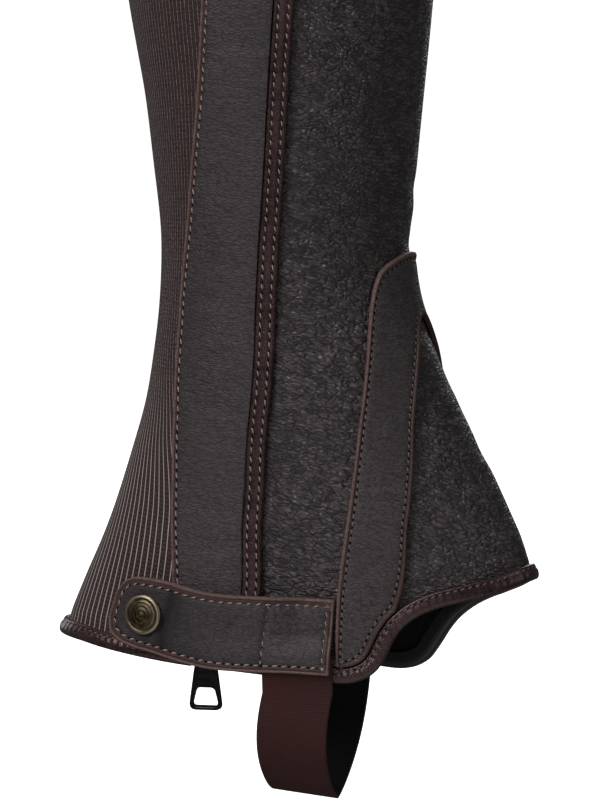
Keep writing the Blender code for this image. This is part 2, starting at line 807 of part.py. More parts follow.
def zip_tape(name, side, look):
    """One woven tape of the zip, inside the panels' edges and notched round the slider."""
    foot = hem_height(119) + BINDING_WIDTH + 3 * SEAM_GAP
    top = top_height(60) - BINDING_WIDTH - 3 * SEAM_GAP
    notch = SLIDER_HIGH + 0.5
    heights = [foot, notch, notch + 0.6]
    heights += np.arange(30, CALF_START, 12.0).tolist()
    heights += np.linspace(CALF_START + 8, top, 9).tolist()
    rows = []
    for height in heights:
        notched = height < notch + 0.3
        near = SLIDER_HALF_WIDTH + SLIDER_CLEARANCE if notched else TAPE_SPLIT
        insets = [near + (TAPE_WIDTH - near) * i / 3 for i in range(4)]
        rows.append([(zip_edge(side, inset, height), height) for inset in insets])
    return laid_grid(name, rows, look, UNDER_SKIN - TAPE_THICK, UNDER_SKIN)


def binding(name, path, look):
    """A strip folded round the edge that a path follows, swept along it."""
    rows = [shifted(path, point.inward) for point in BINDING_SECTION]
    count = len(BINDING_SECTION)
    points = []
    for station in range(len(path)):
        points += [skin(*rows[k][station], BINDING_SECTION[k].out) for k in range(count)]
    faces = []
    for station in range(len(path) - 1):
        for k in range(count):
            a = station * count + k
            b = station * count + (k + 1) % count
            faces.append([a, b, b + count, a + count])
    last = (len(path) - 1) * count
    outer_leg = [0, 1, 7, 8, 9, 10]
    inner_leg = [1, 2, 6, 7]
    lower_leg = [2, 3, 4, 5, 6]
    for start in (0, last):
        for corner in (outer_leg, inner_leg, lower_leg):
            faces.append([start + k for k in corner])
    return solid(name, points, faces, look)


def hem_binding(look):
    first = zip_edge(-1, ZIP_END_GAP, 5.0)
    last = zip_edge(1, ZIP_END_GAP, 5.0) - 360.0
    return binding("hem_binding", hem_stretch(first, last, 6.5), look)


def top_binding(look):
    first = zip_edge(1, ZIP_SLOT, top_height(80)) - 360.0
    last = zip_edge(-1, ZIP_SLOT, top_height(80))
    return binding("top_binding", top_stretch(first, last, 9.0), look)


def snap_tab(look):
    """The tab that closes over the foot of the zip: sewn at its front end, snapped behind."""
    stations = 20
    across = 5
    angles = np.linspace(TAB[0].angle, TAB[-1].angle, stations).tolist()
    rows = []
    for angle in angles:
        low = smooth_value(TAB, "low", angle)
        high = smooth_value(TAB, "high", angle)
        rows.append([(angle, low + (high - low) * i / (across - 1)) for i in range(across)])

    def lift(row, column):
        low = column < 2
        start = TAB_SETTLE_LOW if low else TAB_SETTLE_HIGH
        settled = min(1.0, max(0.0, (angles[row] - start) / TAB_SETTLE_RUN))
        sewn = STRAP_LEVEL + STRAP_THICK + LAY_GAP if low else LAY_GAP
        return sewn + (TAB_LIFT - sewn) * settled * settled * (3 - 2 * settled)

    def face(row, column):
        border = row in (0, stations - 1) or column in (0, across - 1)
        return lift(row, column) + TAB_THICK - (TAB_EDGE_DROP if border else 0.0)

    return laid_grid("snap_tab", rows, look, lift, face)


def turned(name, profile, segments, frame, look):
    """A round piece turned from a profile of radius and height, set in a frame."""
    points = []
    for radius, rise in profile:
        for i in range(segments):
            turn = 2 * math.pi * i / segments
            points.append(frame @ Vector((radius * math.cos(turn), radius * math.sin(turn), rise)))
    faces = []
    for ring in range(len(profile) - 1):
        for i in range(segments):
            a = ring * segments + i
            b = ring * segments + (i + 1) % segments
            faces.append([a, b, b + segments, a + segments])
    faces.append(list(range(segments)))
    last = (len(profile) - 1) * segments
    faces.append([last + i for i in range(segments)])
    return solid(name, points, faces, look)


def skin_frame(angle, height):
    """A frame on the skin: x round the leg, y up it, z straight out of it."""
    out = leg_normal(angle, height)
    up = Vector((0, 0, 1))
    across = up.cross(out).normalized()
    rise = out.cross(across).normalized()
    frame = Matrix((across, rise, out)).transposed().to_4x4()
    frame.translation = leg_point(angle, height)
    return frame


def snap(brass_look, steel_look):
    """Cap on the tab, stud on the elastic under it, and the rivet inside."""
    frame = skin_frame(SNAP_ANGLE, SNAP_HEIGHT)
    base = TAB_LIFT + TAB_THICK + SEAM_GAP
    cap = [(point.radius, base + point.rise) for point in CAP]
    turned("snap_cap", cap, 28, frame, brass_look)
    low = RIB_RISE + SEAM_GAP
    high = TAB_LIFT - 0.5
    stud = ((STUD_RADIUS, low), (STUD_RADIUS, low + STUD_RIM),
            (STUD_NECK_RADIUS, low + STUD_RIM + 0.3), (STUD_NECK_RADIUS, high))
    turned("snap_stud", stud, 20, frame, steel_look)
    top = -ELASTIC - 0.5
    rivet = ((RIVET_FACE_RADIUS, top - RIVET_RISE), (STUD_RADIUS, top - RIVET_RISE + 0.4),
             (STUD_RADIUS, top))
    turned("snap_rivet", rivet, 20, frame, steel_look)


def pull_frame():
    """Upright frame at the pull's pivot: x along the pivot, y up, z out of the leg."""
    angle = closing("zip", PULL_PIVOT_HEIGHT)
    out = leg_normal(angle, PULL_PIVOT_HEIGHT)
    out.z = 0.0
    out.normalize()
    up = Vector((0, 0, 1))
    across = up.cross(out)
    frame = Matrix((across, up, out)).transposed().to_4x4()
    frame.translation = leg_point(angle, PULL_PIVOT_HEIGHT) + out * PULL_PIVOT_OUT
    return frame


def block(size, middle):
    """A box's points and faces."""
    points = []
    for z in (-0.5, 0.5):
        for y in (-0.5, 0.5):
            for x in (-0.5, 0.5):
                points.append(Vector((x * size[0], y * size[1], z * size[2])) + Vector(middle))
    faces = [[0, 2, 3, 1], [4, 5, 7, 6], [0, 1, 5, 4], [2, 6, 7, 3], [0, 4, 6, 2], [1, 3, 7, 5]]
    return points, faces


def zip_slider(look):
    """The slider's body and the bail that holds the pull, joined into one piece."""
    frame = pull_frame()
    drop = -PULL_PIVOT_OUT
    length = SLIDER_HIGH - SLIDER_LOW
    body_middle = (0, (SLIDER_LOW + SLIDER_HIGH) / 2 - PULL_PIVOT_HEIGHT,
                   (SLIDER_FACE + SLIDER_BACK) / 2 + drop)
    points, faces = block((SLIDER_HALF_WIDTH * 2, length, SLIDER_FACE - SLIDER_BACK), body_middle)
    body = solid("zip_slider", [frame @ p for p in points], faces, look, smooth=False)
    rounding = body.modifiers.new("Rounding", "BEVEL")
    rounding.width = SLIDER_ROUNDING * MM
    rounding.segments = 2
    sunk = SLIDER_FACE + drop - BAIL_SUNK
    bail_outline = (
        (-BAIL_HALF_LENGTH, sunk), (-BAIL_HALF_LENGTH, BAIL_SHOULDER),
        (-BAIL_HALF_TOP, BAIL_TOP), (BAIL_HALF_TOP, BAIL_TOP),
        (BAIL_HALF_LENGTH, BAIL_SHOULDER), (BAIL_HALF_LENGTH, sunk),
        (BAIL_HOLE_HALF, sunk), (BAIL_HOLE_HALF, BAIL_HOLE_TOP),
        (-BAIL_HOLE_HALF, BAIL_HOLE_TOP), (-BAIL_HOLE_HALF, sunk),
    )
    sides = (-BAIL_HALF_WIDTH, BAIL_HALF_WIDTH)
    points = [frame @ Vector((x, y, z)) for x in sides for y, z in bail_outline]
    count = len(bail_outline)
    faces = [list(range(count)), [count + i for i in reversed(range(count))]]
    faces += [[i, (i + 1) % count, count + (i + 1) % count, count + i] for i in range(count)]
    bail = solid("bail_shape", points, faces, look, smooth=False)
    bail.hide_render = True
    bail.display_type = "WIRE"
    joining = body.modifiers.new("Bail", "BOOLEAN")
    joining.operation = "UNION"
    joining.object = bail
    return body


def rounded(corners, radius, steps=3):
    """A closed outline with its corners rounded by arcs' worth of points."""
    result = []
    count = len(corners)
    for i, corner in enumerate(corners):
        here = Vector(corner)
        before = (Vector(corners[i - 1]) - here).normalized() * radius
        after = (Vector(corners[(i + 1) % count]) - here).normalized() * radius
        for k in range(steps + 1):
            t = k / steps
            result.append(tuple(here + before * (1 - t) ** 2 + after * t ** 2))
    return result


def zip_pull(look):
    """The hanging pull: a plate with an eye round the bail and an open window."""
    outer = rounded([
        (-PULL_TOP_HALF, PULL_TOP), (-PULL_WAIST_HALF, PULL_WAIST), (-PULL_FOOT_HALF, PULL_FOOT),
        (PULL_FOOT_HALF, PULL_FOOT), (PULL_WAIST_HALF, PULL_WAIST), (PULL_TOP_HALF, PULL_TOP),
    ], PULL_CORNER)
    eye = [(-EYE_HALF, EYE_TOP), (-EYE_HALF, EYE_FOOT), (EYE_HALF, EYE_FOOT), (EYE_HALF, EYE_TOP)]
    window = rounded([
        (-WINDOW_TOP_HALF, WINDOW_TOP), (-WINDOW_FOOT_HALF, WINDOW_FOOT),
        (WINDOW_FOOT_HALF, WINDOW_FOOT), (WINDOW_TOP_HALF, WINDOW_TOP),
    ], WINDOW_CORNER)

    def flat(loop):
        return [(x / PLATE_STEP + 0.5, y / PLATE_STEP + 0.5) for x, y in loop]

    shape = filled(flat(outer), [flat(eye), flat(window)])
    frame = pull_frame()

    def at(point, level):
        x = (point[0] - 0.5) * PLATE_STEP
        y = (point[1] - 0.5) * PLATE_STEP
        return frame @ Vector((x, y, level))

    made = filled_solid(
        "zip_pull", shape,
        lambda point: at(point, PULL_THICK / 2),
        lambda point: at(point, -PULL_THICK / 2),
        look, smooth=False)
    pivot = Vector((frame.translation.x, frame.translation.y,
                    frame.translation.z - HOLD_HEIGHT)) * MM
    made.data.transform(Matrix.Translation(-pivot))
    made.location = pivot
    return made


def strap_places():
    """Rows of points along the stirrup's two faces: from under the snap tab on the outer
    side, round under the foot, and up inside the inner side."""
    across = 5
    shares = [i / (across - 1) - 0.5 for i in range(across)]
    outer_heights = np.linspace(STRAP_OUTER_TOP, STRAP_FREE_HEIGHT, 4).tolist()
    inner_heights = np.linspace(STRAP_FREE_HEIGHT, STRAP_INNER_TOP, 4).tolist()

    def sewn_row(height, side, out):
        row = []
        for share in shares:
            x = STRAP_MIDDLE_X + share * STRAP_WIDTH
            front = smooth_value(LEG, "front", height)
            back = smooth_value(LEG, "back", height)
            turn = math.degrees(math.acos((2 * x - front - back) / (front - back)))
            angle = turn if side > 0 else inner_angle(-turn, height)
            row.append(skin(angle, height, out))
        return row

    def face(outer_level, inner_level, drop):
        rows = [sewn_row(height, 1, outer_level) for height in outer_heights]
        first = rows[-1]
        last = sewn_row(STRAP_FREE_HEIGHT, -1, inner_level)
        middle = across // 2
        bends = 13
        for k in range(1, bends):
            turn = math.pi * k / bends
            sag = math.sin(turn) ** 0.8
            side = math.cos(turn)
            near = (1 + math.copysign(abs(side) ** STRAP_FOLD, side)) / 2
            lean = STRAP_LEAN * sag + STRAP_BOW * 4 * sag * (1 - sag) * near
            row = []
            for share, a, b in zip(shares, first, last):
                own_y = a.y * near + b.y * (1 - near)
                level_y = first[middle].y * near + last[middle].y * (1 - near)
                y = level_y * sag + own_y * (1 - sag)
                x = a.x * near + b.x * (1 - near) - lean
                depth = STRAP_FREE_HEIGHT - STRAP_LOWEST - drop - STRAP_TILT * (0.5 - share)
                row.append(Vector((x, y, (a.z * near + b.z * (1 - near)) - depth * sag)))
            rows.append(row)
        return rows + [sewn_row(height, -1, inner_level) for height in inner_heights]

    inner_level = UNDER_SKIN - BINDING_INNER - LAY_GAP
    return (face(STRAP_LEVEL + STRAP_THICK, inner_level, 0.0),
            face(STRAP_LEVEL, inner_level - STRAP_THICK, STRAP_THICK))


def stirrup_strap(look):
    outer, inner = strap_places()
    return grid_solid("stirrup_strap", outer, inner, look)


def build():
    clean_scene()
    smooth_leather = material("smooth_leather", (0.035, 0.029, 0.027), 0.5)
    grained_leather = material("grained_leather", (0.032, 0.026, 0.025), 0.55)
    bound_leather = material("bound_leather", (0.045, 0.021, 0.015), 0.4)
    ribbed_elastic = material("ribbed_elastic", (0.052, 0.030, 0.028), 0.8)
    webbing = material("webbing", (0.060, 0.022, 0.018), 0.85)
    tape = material("zip_tape", (0.012, 0.012, 0.013), 0.8)
    gloss_black = material("gloss_black", (0.010, 0.010, 0.011), 0.2)
    brass = material("aged_brass", (0.23, 0.15, 0.09), 0.35, 1.0)
    steel = material("dark_steel", (0.20, 0.19, 0.18), 0.35, 1.0)

    calf_panel(grained_leather)
    instep_panel(grained_leather)
    instep_band(smooth_leather)
    elastic_panel(ribbed_elastic)
    zip_flap(smooth_leather)
    flap_binding(bound_leather)
    zip_tape("zip_tape_front", -1, tape)
    zip_tape("zip_tape_back", 1, tape)
    hem_binding(bound_leather)
    top_binding(bound_leather)
    snap_tab(smooth_leather)
    snap(brass, steel)
    zip_slider(gloss_black)
    zip_pull(gloss_black)
    stirrup_strap(webbing)


build()
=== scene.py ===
"""Leather half chap, dressed: thin leather panels with grain and creases, a smooth zip flap
with its bound edge, ribbed elastic, folded bindings, the snap tab, the zip and the stirrup.

Sizes are in millimetres and angles in degrees, as on the maker's form: 0 is the front of the
leg, 90 its outer side, 180 the back and -90 its inner side. Heights are measured from the
lowest point of the hem. Meshes are made in metres when they are finished.
"""
import math
from collections import namedtuple

import bpy
import numpy as np
from mathutils import Matrix, Vector
from mathutils.geometry import delaunay_2d_cdt


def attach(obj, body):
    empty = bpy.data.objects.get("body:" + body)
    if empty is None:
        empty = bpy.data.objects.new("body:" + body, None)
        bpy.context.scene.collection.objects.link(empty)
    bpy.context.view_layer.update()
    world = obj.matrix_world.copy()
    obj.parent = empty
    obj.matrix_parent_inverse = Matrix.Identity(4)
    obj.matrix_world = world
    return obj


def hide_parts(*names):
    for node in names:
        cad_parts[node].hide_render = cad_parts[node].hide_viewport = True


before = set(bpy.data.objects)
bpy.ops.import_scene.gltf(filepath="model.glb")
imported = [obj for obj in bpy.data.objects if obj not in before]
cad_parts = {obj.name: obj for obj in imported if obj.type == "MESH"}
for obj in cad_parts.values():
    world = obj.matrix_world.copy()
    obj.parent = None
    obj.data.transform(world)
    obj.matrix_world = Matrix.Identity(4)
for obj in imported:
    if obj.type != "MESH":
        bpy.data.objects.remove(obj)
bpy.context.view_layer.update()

MM = 0.001
HOLD_HEIGHT = 400.0


def rows_of(columns, *rows):
    """The rows of a table, their columns named."""
    row_kind = namedtuple("Row", columns)
    return tuple(row_kind(*row) for row in rows)


# Thicknesses, gaps and trims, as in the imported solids
LEATHER = 2.0
ELASTIC = 1.8
SEAM_GAP = 0.3
LAY_GAP = 0.35
FLAP_THICK = 1.75
TAPE_THICK = 1.0
STRAP_THICK = 1.6
BINDING_WIDTH = 6.0
BINDING_WRAP = 1.1
PANEL_INSET = BINDING_WRAP + SEAM_GAP
BINDING_RISE = 2.2
BINDING_INNER = 1.0
STRAP_LEVEL = BINDING_RISE + LAY_GAP
ZIP_SLOT = 5.2
ZIP_END_GAP = 6.6
ZIP_FOOT_HEIGHT = 5.0
ZIP_TOP_ANGLE = 80
TAPE_WIDTH = 15.0
TAPE_SPLIT = 0.4
SLIDER_HIGH = 18.0
FLAP_FOOT = 15.0
FLAP_BINDING_WIDTH = 7.0
FLAP_BINDING_RISE = 2.9
FLAP_EDGE_MARGIN = 2.0
BAND_LIFT = 0.55
TAB_LIFT = 3.6
SNAP_ANGLE = 124.5
SNAP_HEIGHT = 24.3
SNAP_RADIUS = 7.4
STRAP_WIDTH = 25.8
STRAP_MIDDLE_X = 14.9
STRAP_OUTER_TOP = 10.5
STRAP_INNER_TOP = 15.0
STRAP_FREE_HEIGHT = -3.0
STRAP_LOWEST = -45.4
STRAP_LEAN = 5.0
STRAP_BOW = 1.0
STRAP_FOLD = 1.6
STRAP_TILT = 3.0
ELASTIC_SEAM_ANGLE = 205.0
INNER_SEAM_ANGLE = ELASTIC_SEAM_ANGLE - 360.0
PULL_PIVOT_HEIGHT = 8.5
PULL_PIVOT_OUT = 1.5
PULL_THICK = 1.6

# The maker's form: front, back and half width of the leg at each height, and how much the
# half width narrows towards the front
LEG = rows_of(
    "height front back half_width taper",
    (-10, 99.0, -87.0, 37.0, 0.30),
    (4, 98.8, -85.8, 38.2, 0.29),
    (16, 98.0, -82.6, 39.0, 0.28),
    (35, 95.6, -74.6, 40.5, 0.26),
    (50, 91.4, -68.0, 41.0, 0.24),
    (65, 84.9, -62.3, 41.0, 0.22),
    (83, 75.6, -56.3, 41.0, 0.18),
    (101, 66.4, -51.0, 41.0, 0.12),
    (116, 59.4, -48.2, 41.0, 0.08),
    (138, 50.6, -45.3, 41.3, 0.05),
    (158, 47.5, -44.4, 42.2, 0.03),
    (175, 48.7, -45.5, 43.7, 0.0),
    (212, 52.4, -50.0, 47.6, 0.0),
    (250, 56.0, -56.6, 52.0, 0.0),
    (300, 61.0, -63.0, 56.0, 0.0),
    (340, 62.0, -64.0, 57.0, 0.0),
    (385, 60.0, -61.0, 55.5, 0.0),
    (430, 57.5, -57.0, 53.5, 0.0),
)

# Low on the leg, the inner side's edges and seams lie further forward than the outer
# side's: the most that they do, in degrees, and its shares round the leg and up it
INNER_LEAD = 10.0
LEAD_ROUND = rows_of(
    "at share",
    (0, 0.0), (10, 0.0), (20, 0.12), (35, 0.5), (45, 0.85), (53, 1.0), (80, 1.0), (96, 0.5),
    (112, 0.0), (130, 0.0), (180, 0.0),
)
LEAD_UP = rows_of(
    "at share",
    (-60, 0.46), (6, 0.46), (12, 0.53), (17, 0.62), (21, 0.71), (25, 0.8), (31, 0.86), (45, 0.8),
    (75, 0.4), (110, 0.0), (150, 0.0), (430, 0.0),
)

# The closing side: angles of the zip and of the flap's sewn and free edges
CLOSING = rows_of(
    "height zip sewn free",
    (0, 105.9, 115.0, 95.0),
    (18, 107.5, 117.4, 95.0),
    (35, 109.6, 120.0, 95.6),
    (56, 110.8, 125.0, 96.7),
    (74, 110.8, 128.0, 95.4),
    (92, 109.2, 131.0, 93.3),
    (110, 106.2, 133.0, 89.2),
    (129, 102.0, 132.2, 84.6),
    (148, 97.8, 130.2, 80.8),
    (177, 92.2, 122.9, 77.3),
    (213, 87.2, 113.6, 74.6),
    (250, 83.0, 106.0, 71.1),
    (300, 79.5, 100.2, 68.0),
    (340, 78.5, 98.6, 67.4),
    (385, 79.0, 99.5, 68.0),
    (430, 80.0, 101.5, 69.0),
)

# Points on edges; the inner side of the leg mirrors the outer one
HEM = rows_of(
    "angle height",
    (180, 13.8), (165, 13.4), (150, 12.3), (139.5, 10.6), (129, 8.7), (116, 6.3), (107, 4.9),
    (98, 3.7), (88, 2.1), (80, 0.7), (74.5, 0.1), (70.6, 1.2), (67.4, 3.8), (65.4, 7.2),
    (63.9, 11.5), (62.2, 16.8), (59.8, 21.3), (55.8, 25.2), (50, 28.2), (43.7, 30.0),
    (37.6, 31.4), (30.5, 32.9), (20.9, 35.0), (10, 36.5), (0, 37.0),
)
BAND_BACK = rows_of(
    "angle height",
    (76.2, 6.8), (76.8, 28.6), (76.5, 38.0), (75.2, 50.0), (71.7, 65.8), (65.6, 84.4),
    (59.9, 98.3), (54.1, 110.1), (47.2, 123.8), (42.2, 132.9), (38.2, 140.3), (33.7, 146.9),
    (28.9, 151.2), (20.3, 154.2), (10.5, 156.1), (0, 156.8),
)
BAND_FRONT = rows_of(
    "angle height",
    (61.6, 28.6), (59.8, 36.2), (56.6, 54.6), (52.9, 65.6), (48.0, 77.5), (40.7, 93.1),
    (33.0, 104.8), (22.0, 118.2), (10.5, 129.5), (0, 134.0),
)
BAND_SEAM = rows_of(
    "angle height",
    (70.2, 3.9), (69.9, 16.0), (69.3, 30.0), (66.2, 52.0), (60.0, 74.0), (50.6, 95.5),
    (38.0, 117.0), (25.0, 133.0), (11.0, 143.0), (0, 145.5),
)
TOP = rows_of("angle height", (0, 425.0), (60, 429.0), (100, 430.0), (140, 419.0),
              (180, 405.0))

# The snap tab's lower and upper edges
TAB = rows_of(
    "angle low high",
    (77.3, 4.0, 31.3), (86.0, 4.7, 32.0), (96.0, 4.9, 32.6), (105.0, 5.4, 32.9),
    (112.0, 7.4, 34.2), (120.0, 10.3, 36.5), (127.0, 12.4, 37.5), (131.5, 14.6, 37.3),
    (134.6, 17.8, 35.2), (136.2, 22.4, 31.6),
)

# From one rib of the elastic to the next, as worn at each height and as woven
RIB_PITCH = rows_of(
    "height pitch",
    (0, 2.8), (30, 2.75), (60, 2.6), (75, 2.35), (90, 2.05), (110, 1.75), (138, 1.62), (175, 1.7),
    (212, 1.8), (250, 1.9), (430, 2.1),
)
RIB_WOVEN = 2.2

# One stitch and its gap on the flap and the tab, and on the band and the bindings; how deep
# and how wide a row of them pulls the leather in; how far the thread lies in the light rows
STITCH_PITCH = 3.5
FINE_PITCH = 2.8
STITCH_DEPTH = 0.32
STITCH_TROUGH = 0.75
THREAD_SUNK = 0.36


# The form's skin

def smooth_value(table, column, at):
    """A table's column at values of its first one, on a smooth curve through its rows."""
    rows = sorted(table, key=lambda row: row[0])
    keys = np.array([row[0] for row in rows], dtype=float)
    values = np.array([getattr(row, column) for row in rows], dtype=float)
    at = np.clip(np.asarray(at, dtype=float), keys[0], keys[-1])
    low = np.clip(np.searchsorted(keys, at) - 1, 0, len(keys) - 2)
    before = np.maximum(np.arange(len(keys)) - 1, 0)
    after = np.minimum(np.arange(len(keys)) + 1, len(keys) - 1)
    slope = (values[after] - values[before]) / (keys[after] - keys[before])
    span = keys[low + 1] - keys[low]
    t = (at - keys[low]) / span
    rise = values[low + 1] - values[low]
    bend = (slope[low] * span - rise) * (1 - t) - (slope[low + 1] * span - rise) * t
    return values[low] + t * rise + t * (1 - t) * bend


def wrapped(angle):
    return np.abs((np.asarray(angle, dtype=float) + 180.0) % 360.0 - 180.0)


def inner_lead(angle, height):
    """Degrees by which a place on the inner side of the leg lies further forward."""
    round_leg = -((np.asarray(angle, dtype=float) + 180.0) % 360.0 - 180.0)
    share = smooth_value(LEAD_ROUND, "share", round_leg) * smooth_value(LEAD_UP, "share", height)
    return INNER_LEAD * share


def inner_angle(turn, height):
    """The angle of the place on the inner side that lies at a plain turn round the leg."""
    angle = turn
    for _ in range(40):
        angle = turn - inner_lead(angle, height)
    return angle


def leg_face(angle, height):
    angle = angle + inner_lead(angle, height)
    front = smooth_value(LEG, "front", height)
    back = smooth_value(LEG, "back", height)
    half_width = smooth_value(LEG, "half_width", height)
    taper = smooth_value(LEG, "taper", height)
    turn = np.radians(angle)
    narrowing = 1 - taper * (1 + np.cos(turn)) / 2
    x = (front + back) / 2 + (front - back) / 2 * np.cos(turn)
    y = -half_width * np.sin(turn) * narrowing
    return np.stack(np.broadcast_arrays(x, y, np.asarray(height, dtype=float)), axis=-1)


def leg_slopes(angle, height):
    """The skin's step for a degree round the leg and for a millimetre up it."""
    angle = np.asarray(angle, dtype=float)
    height = np.asarray(height, dtype=float)
    per_degree = leg_face(angle + 0.5, height) - leg_face(angle - 0.5, height)
    per_height = (leg_face(angle, height + 1) - leg_face(angle, height - 1)) / 2
    return per_degree, per_height


def unit(vectors):
    return vectors / np.maximum(np.linalg.norm(vectors, axis=-1, keepdims=True), 1e-12)


def run_along(points):
    """How far along a line each of its points lies."""
    return np.concatenate([[0], np.cumsum(np.linalg.norm(np.diff(points, axis=0), axis=1))])


def leg_normal(angle, height):
    per_degree, per_height = leg_slopes(angle, height)
    return unit(np.cross(per_height, per_degree))


def skin(angle, height, out=0.0):
    """Points on the leather's outer face, moved out along its normal."""
    out = np.asarray(out, dtype=float)
    return leg_face(angle, height) + leg_normal(angle, height) * out[..., None]


def shifted(path, distance):
    """A path on the skin moved sideways, up the leg for one that runs towards lower angles."""
    path = np.asarray(path, dtype=float)
    points = leg_face(*path.T)
    tangent = np.gradient(points, axis=0)
    side = unit(np.cross(leg_normal(*path.T), tangent)) * distance
    per_degree, per_height = leg_slopes(*path.T)
    aa = (per_degree * per_degree).sum(1)
    ab = (per_degree * per_height).sum(1)
    bb = (per_height * per_height).sum(1)
    sa = (side * per_degree).sum(1)
    sb = (side * per_height).sum(1)
    bottom = aa * bb - ab * ab
    steps = np.stack([(sa * bb - sb * ab) / bottom, (sb * aa - sa * ab) / bottom], axis=1)
    return path + steps


def moved(angle, height, along_mm):
    """An angle moved by millimetres round the leg."""
    per_degree, _ = leg_slopes(angle, height)
    return np.asarray(angle, dtype=float) + along_mm / np.linalg.norm(per_degree, axis=-1)


def curve_through(edges, spacing):
    """Places on a smooth curve through an edge's points, about evenly spaced."""
    points = [np.array(edge, dtype=float) for edge in edges]
    ends = [points[0] * 2 - points[1]] + points + [points[-1] * 2 - points[-2]]
    places = []
    for a, b, c, d in zip(ends, ends[1:], ends[2:], ends[3:]):
        run = np.linalg.norm(leg_face(*c) - leg_face(*b))
        steps = max(1, round(run / spacing))
        for k in range(steps):
            t = k / steps
            places.append((b * 2 + (c - a) * t + (a * 2 - b * 5 + c * 4 - d) * t * t
                           + (b * 3 - a - c * 3 + d) * t ** 3) / 2)
    places.append(points[-1])
    return np.array(places)


def ramp(value, start, run):
    """Nothing up to a start, then an even rise to 1 over a run."""
    return np.clip((value - start) / run, 0, 1)


def places_at(angles, heights):
    return np.stack([angles, heights], axis=1)


def mirrored(places):
    """The same places on the inner side of the leg, in the opposite order."""
    return places[::-1] * np.array([-1.0, 1.0])


def resampled(path, count=None, spacing=None):
    """A path's places, evenly spaced by their length along the leg."""
    path = np.asarray(path, dtype=float)
    lengths = run_along(leg_face(*path.T))
    if count is None:
        count = max(2, round(lengths[-1] / spacing) + 1)
    stations = np.linspace(0.0, lengths[-1], count)
    return np.stack([np.interp(stations, lengths, path[:, k]) for k in (0, 1)], axis=1)


def path_length(path):
    points = leg_face(*path.T)
    return float(np.linalg.norm(np.diff(points, axis=0), axis=1).sum())


def hem_height(angle):
    rows = [edge for edge in HEM if edge.angle >= 74]
    return smooth_value(rows, "height", wrapped(angle))


def top_height(angle):
    return smooth_value(TOP, "height", wrapped(angle))


def closing(column, height):
    return smooth_value(CLOSING, column, height)


def zip_edge(side, inset, height):
    """Angle of a line beside the zip: side -1 is towards the front, 1 towards the back."""
    return moved(closing("zip", height), height, side * inset)


def hem_stretch(first_angle, last_angle, spacing):
    """The hem's lower edge between two angles, running towards lower angles."""
    outer = curve_through(HEM, spacing)
    whole = np.concatenate([outer[:-1], mirrored(outer)])
    behind = whole - np.array([360.0, 0.0])
    whole = np.concatenate([whole[:-1], behind])
    stretch = whole[(whole[:, 0] > last_angle) & (whole[:, 0] < first_angle)]
    first = [[first_angle, float(hem_height(first_angle))]]
    last = [[last_angle, float(hem_height(last_angle))]]
    return np.concatenate([first, stretch, last])


def top_stretch(first_angle, last_angle, step):
    """The top edge between two angles, running towards higher angles."""
    count = max(1, round(abs(last_angle - first_angle) / step))
    angles = np.linspace(first_angle, last_angle, count + 1)
    return places_at(angles, top_height(angles))


def band_seam(spacing):
    """The seam under the instep band, from the outer hem over the ankle to the inner hem."""
    outer = curve_through(BAND_SEAM, spacing)
    return np.concatenate([outer[:-1], mirrored(outer)])


# Meshes

def metres(points):
    """Points in metres from where the calf holds the piece."""
    return ((np.asarray(points, dtype=float) - np.array([0, 0, HOLD_HEIGHT])) * MM).tolist()


def new_node(tree, kind, settings=None, values=None):
    """A node of a kind: its settings first, then its sockets' values or links."""
    made = tree.nodes.new(kind)
    for setting, value in (settings or {}).items():
        setattr(made, setting, value)
    for socket, value in (values or {}).items():
        if isinstance(value, bpy.types.NodeSocket):
            tree.links.new(value, made.inputs[socket])
        else:
            made.inputs[socket].default_value = value
    return made


def link(name, data):
    made = bpy.data.objects.new(name, data)
    bpy.context.scene.collection.objects.link(made)
    return made


def piece(name, points, faces, looks, body="chap", face_looks=None, cut=None, marks=None,
          sharp=40.0):
    """A finished piece from points in millimetres: its faces turned outwards, its finishes,
    its body, and per-point values for its materials."""
    mesh = bpy.data.meshes.new(name)
    mesh.from_pydata(metres(points), [], [list(map(int, face)) for face in faces])
    if signed_volume(mesh) < 0:
        mesh.flip_normals()
    mesh.shade_smooth()
    mesh.set_sharp_from_angle(angle=math.radians(sharp))
    for look in looks:
        mesh.materials.append(look)
    if face_looks is not None:
        mesh.polygons.foreach_set("material_index", np.asarray(face_looks, dtype=np.int32))
    if cut is not None:
        layer = mesh.uv_layers.new(name="cut")
        corners = np.empty(len(mesh.loops), dtype=np.int32)
        mesh.loops.foreach_get("vertex_index", corners)
        layer.data.foreach_set("uv", (np.asarray(cut, dtype=float)[corners] * MM).ravel())
    for mark, values in (marks or {}).items():
        layer = mesh.attributes.new(mark, "FLOAT", "POINT")
        layer.data.foreach_set("value", np.asarray(values, dtype=np.float32))
    made = link(name, mesh)
    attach(made, body)
    return made


def signed_volume(mesh):
    mesh.calc_loop_triangles()
    corners = np.empty(len(mesh.loop_triangles) * 3, dtype=np.int32)
    mesh.loop_triangles.foreach_get("vertices", corners)
    points = np.empty(len(mesh.vertices) * 3)
    mesh.vertices.foreach_get("co", points)
    a, b, c = np.moveaxis(points.reshape(-1, 3)[corners.reshape(-1, 3)], 1, 0)
    return float((a * np.cross(b, c)).sum() / 6)


def grid_faces(rows, columns, start=0, wrap=False):
    r, c = np.meshgrid(np.arange(rows - 1), np.arange(columns if wrap else columns - 1),
                       indexing="ij")
    r = r.ravel()
    c = c.ravel()
    right = (c + 1) % columns
    quads = np.stack([r * columns + c, r * columns + right,
                      (r + 1) * columns + right, (r + 1) * columns + c], axis=1)
    return (quads + start).tolist()


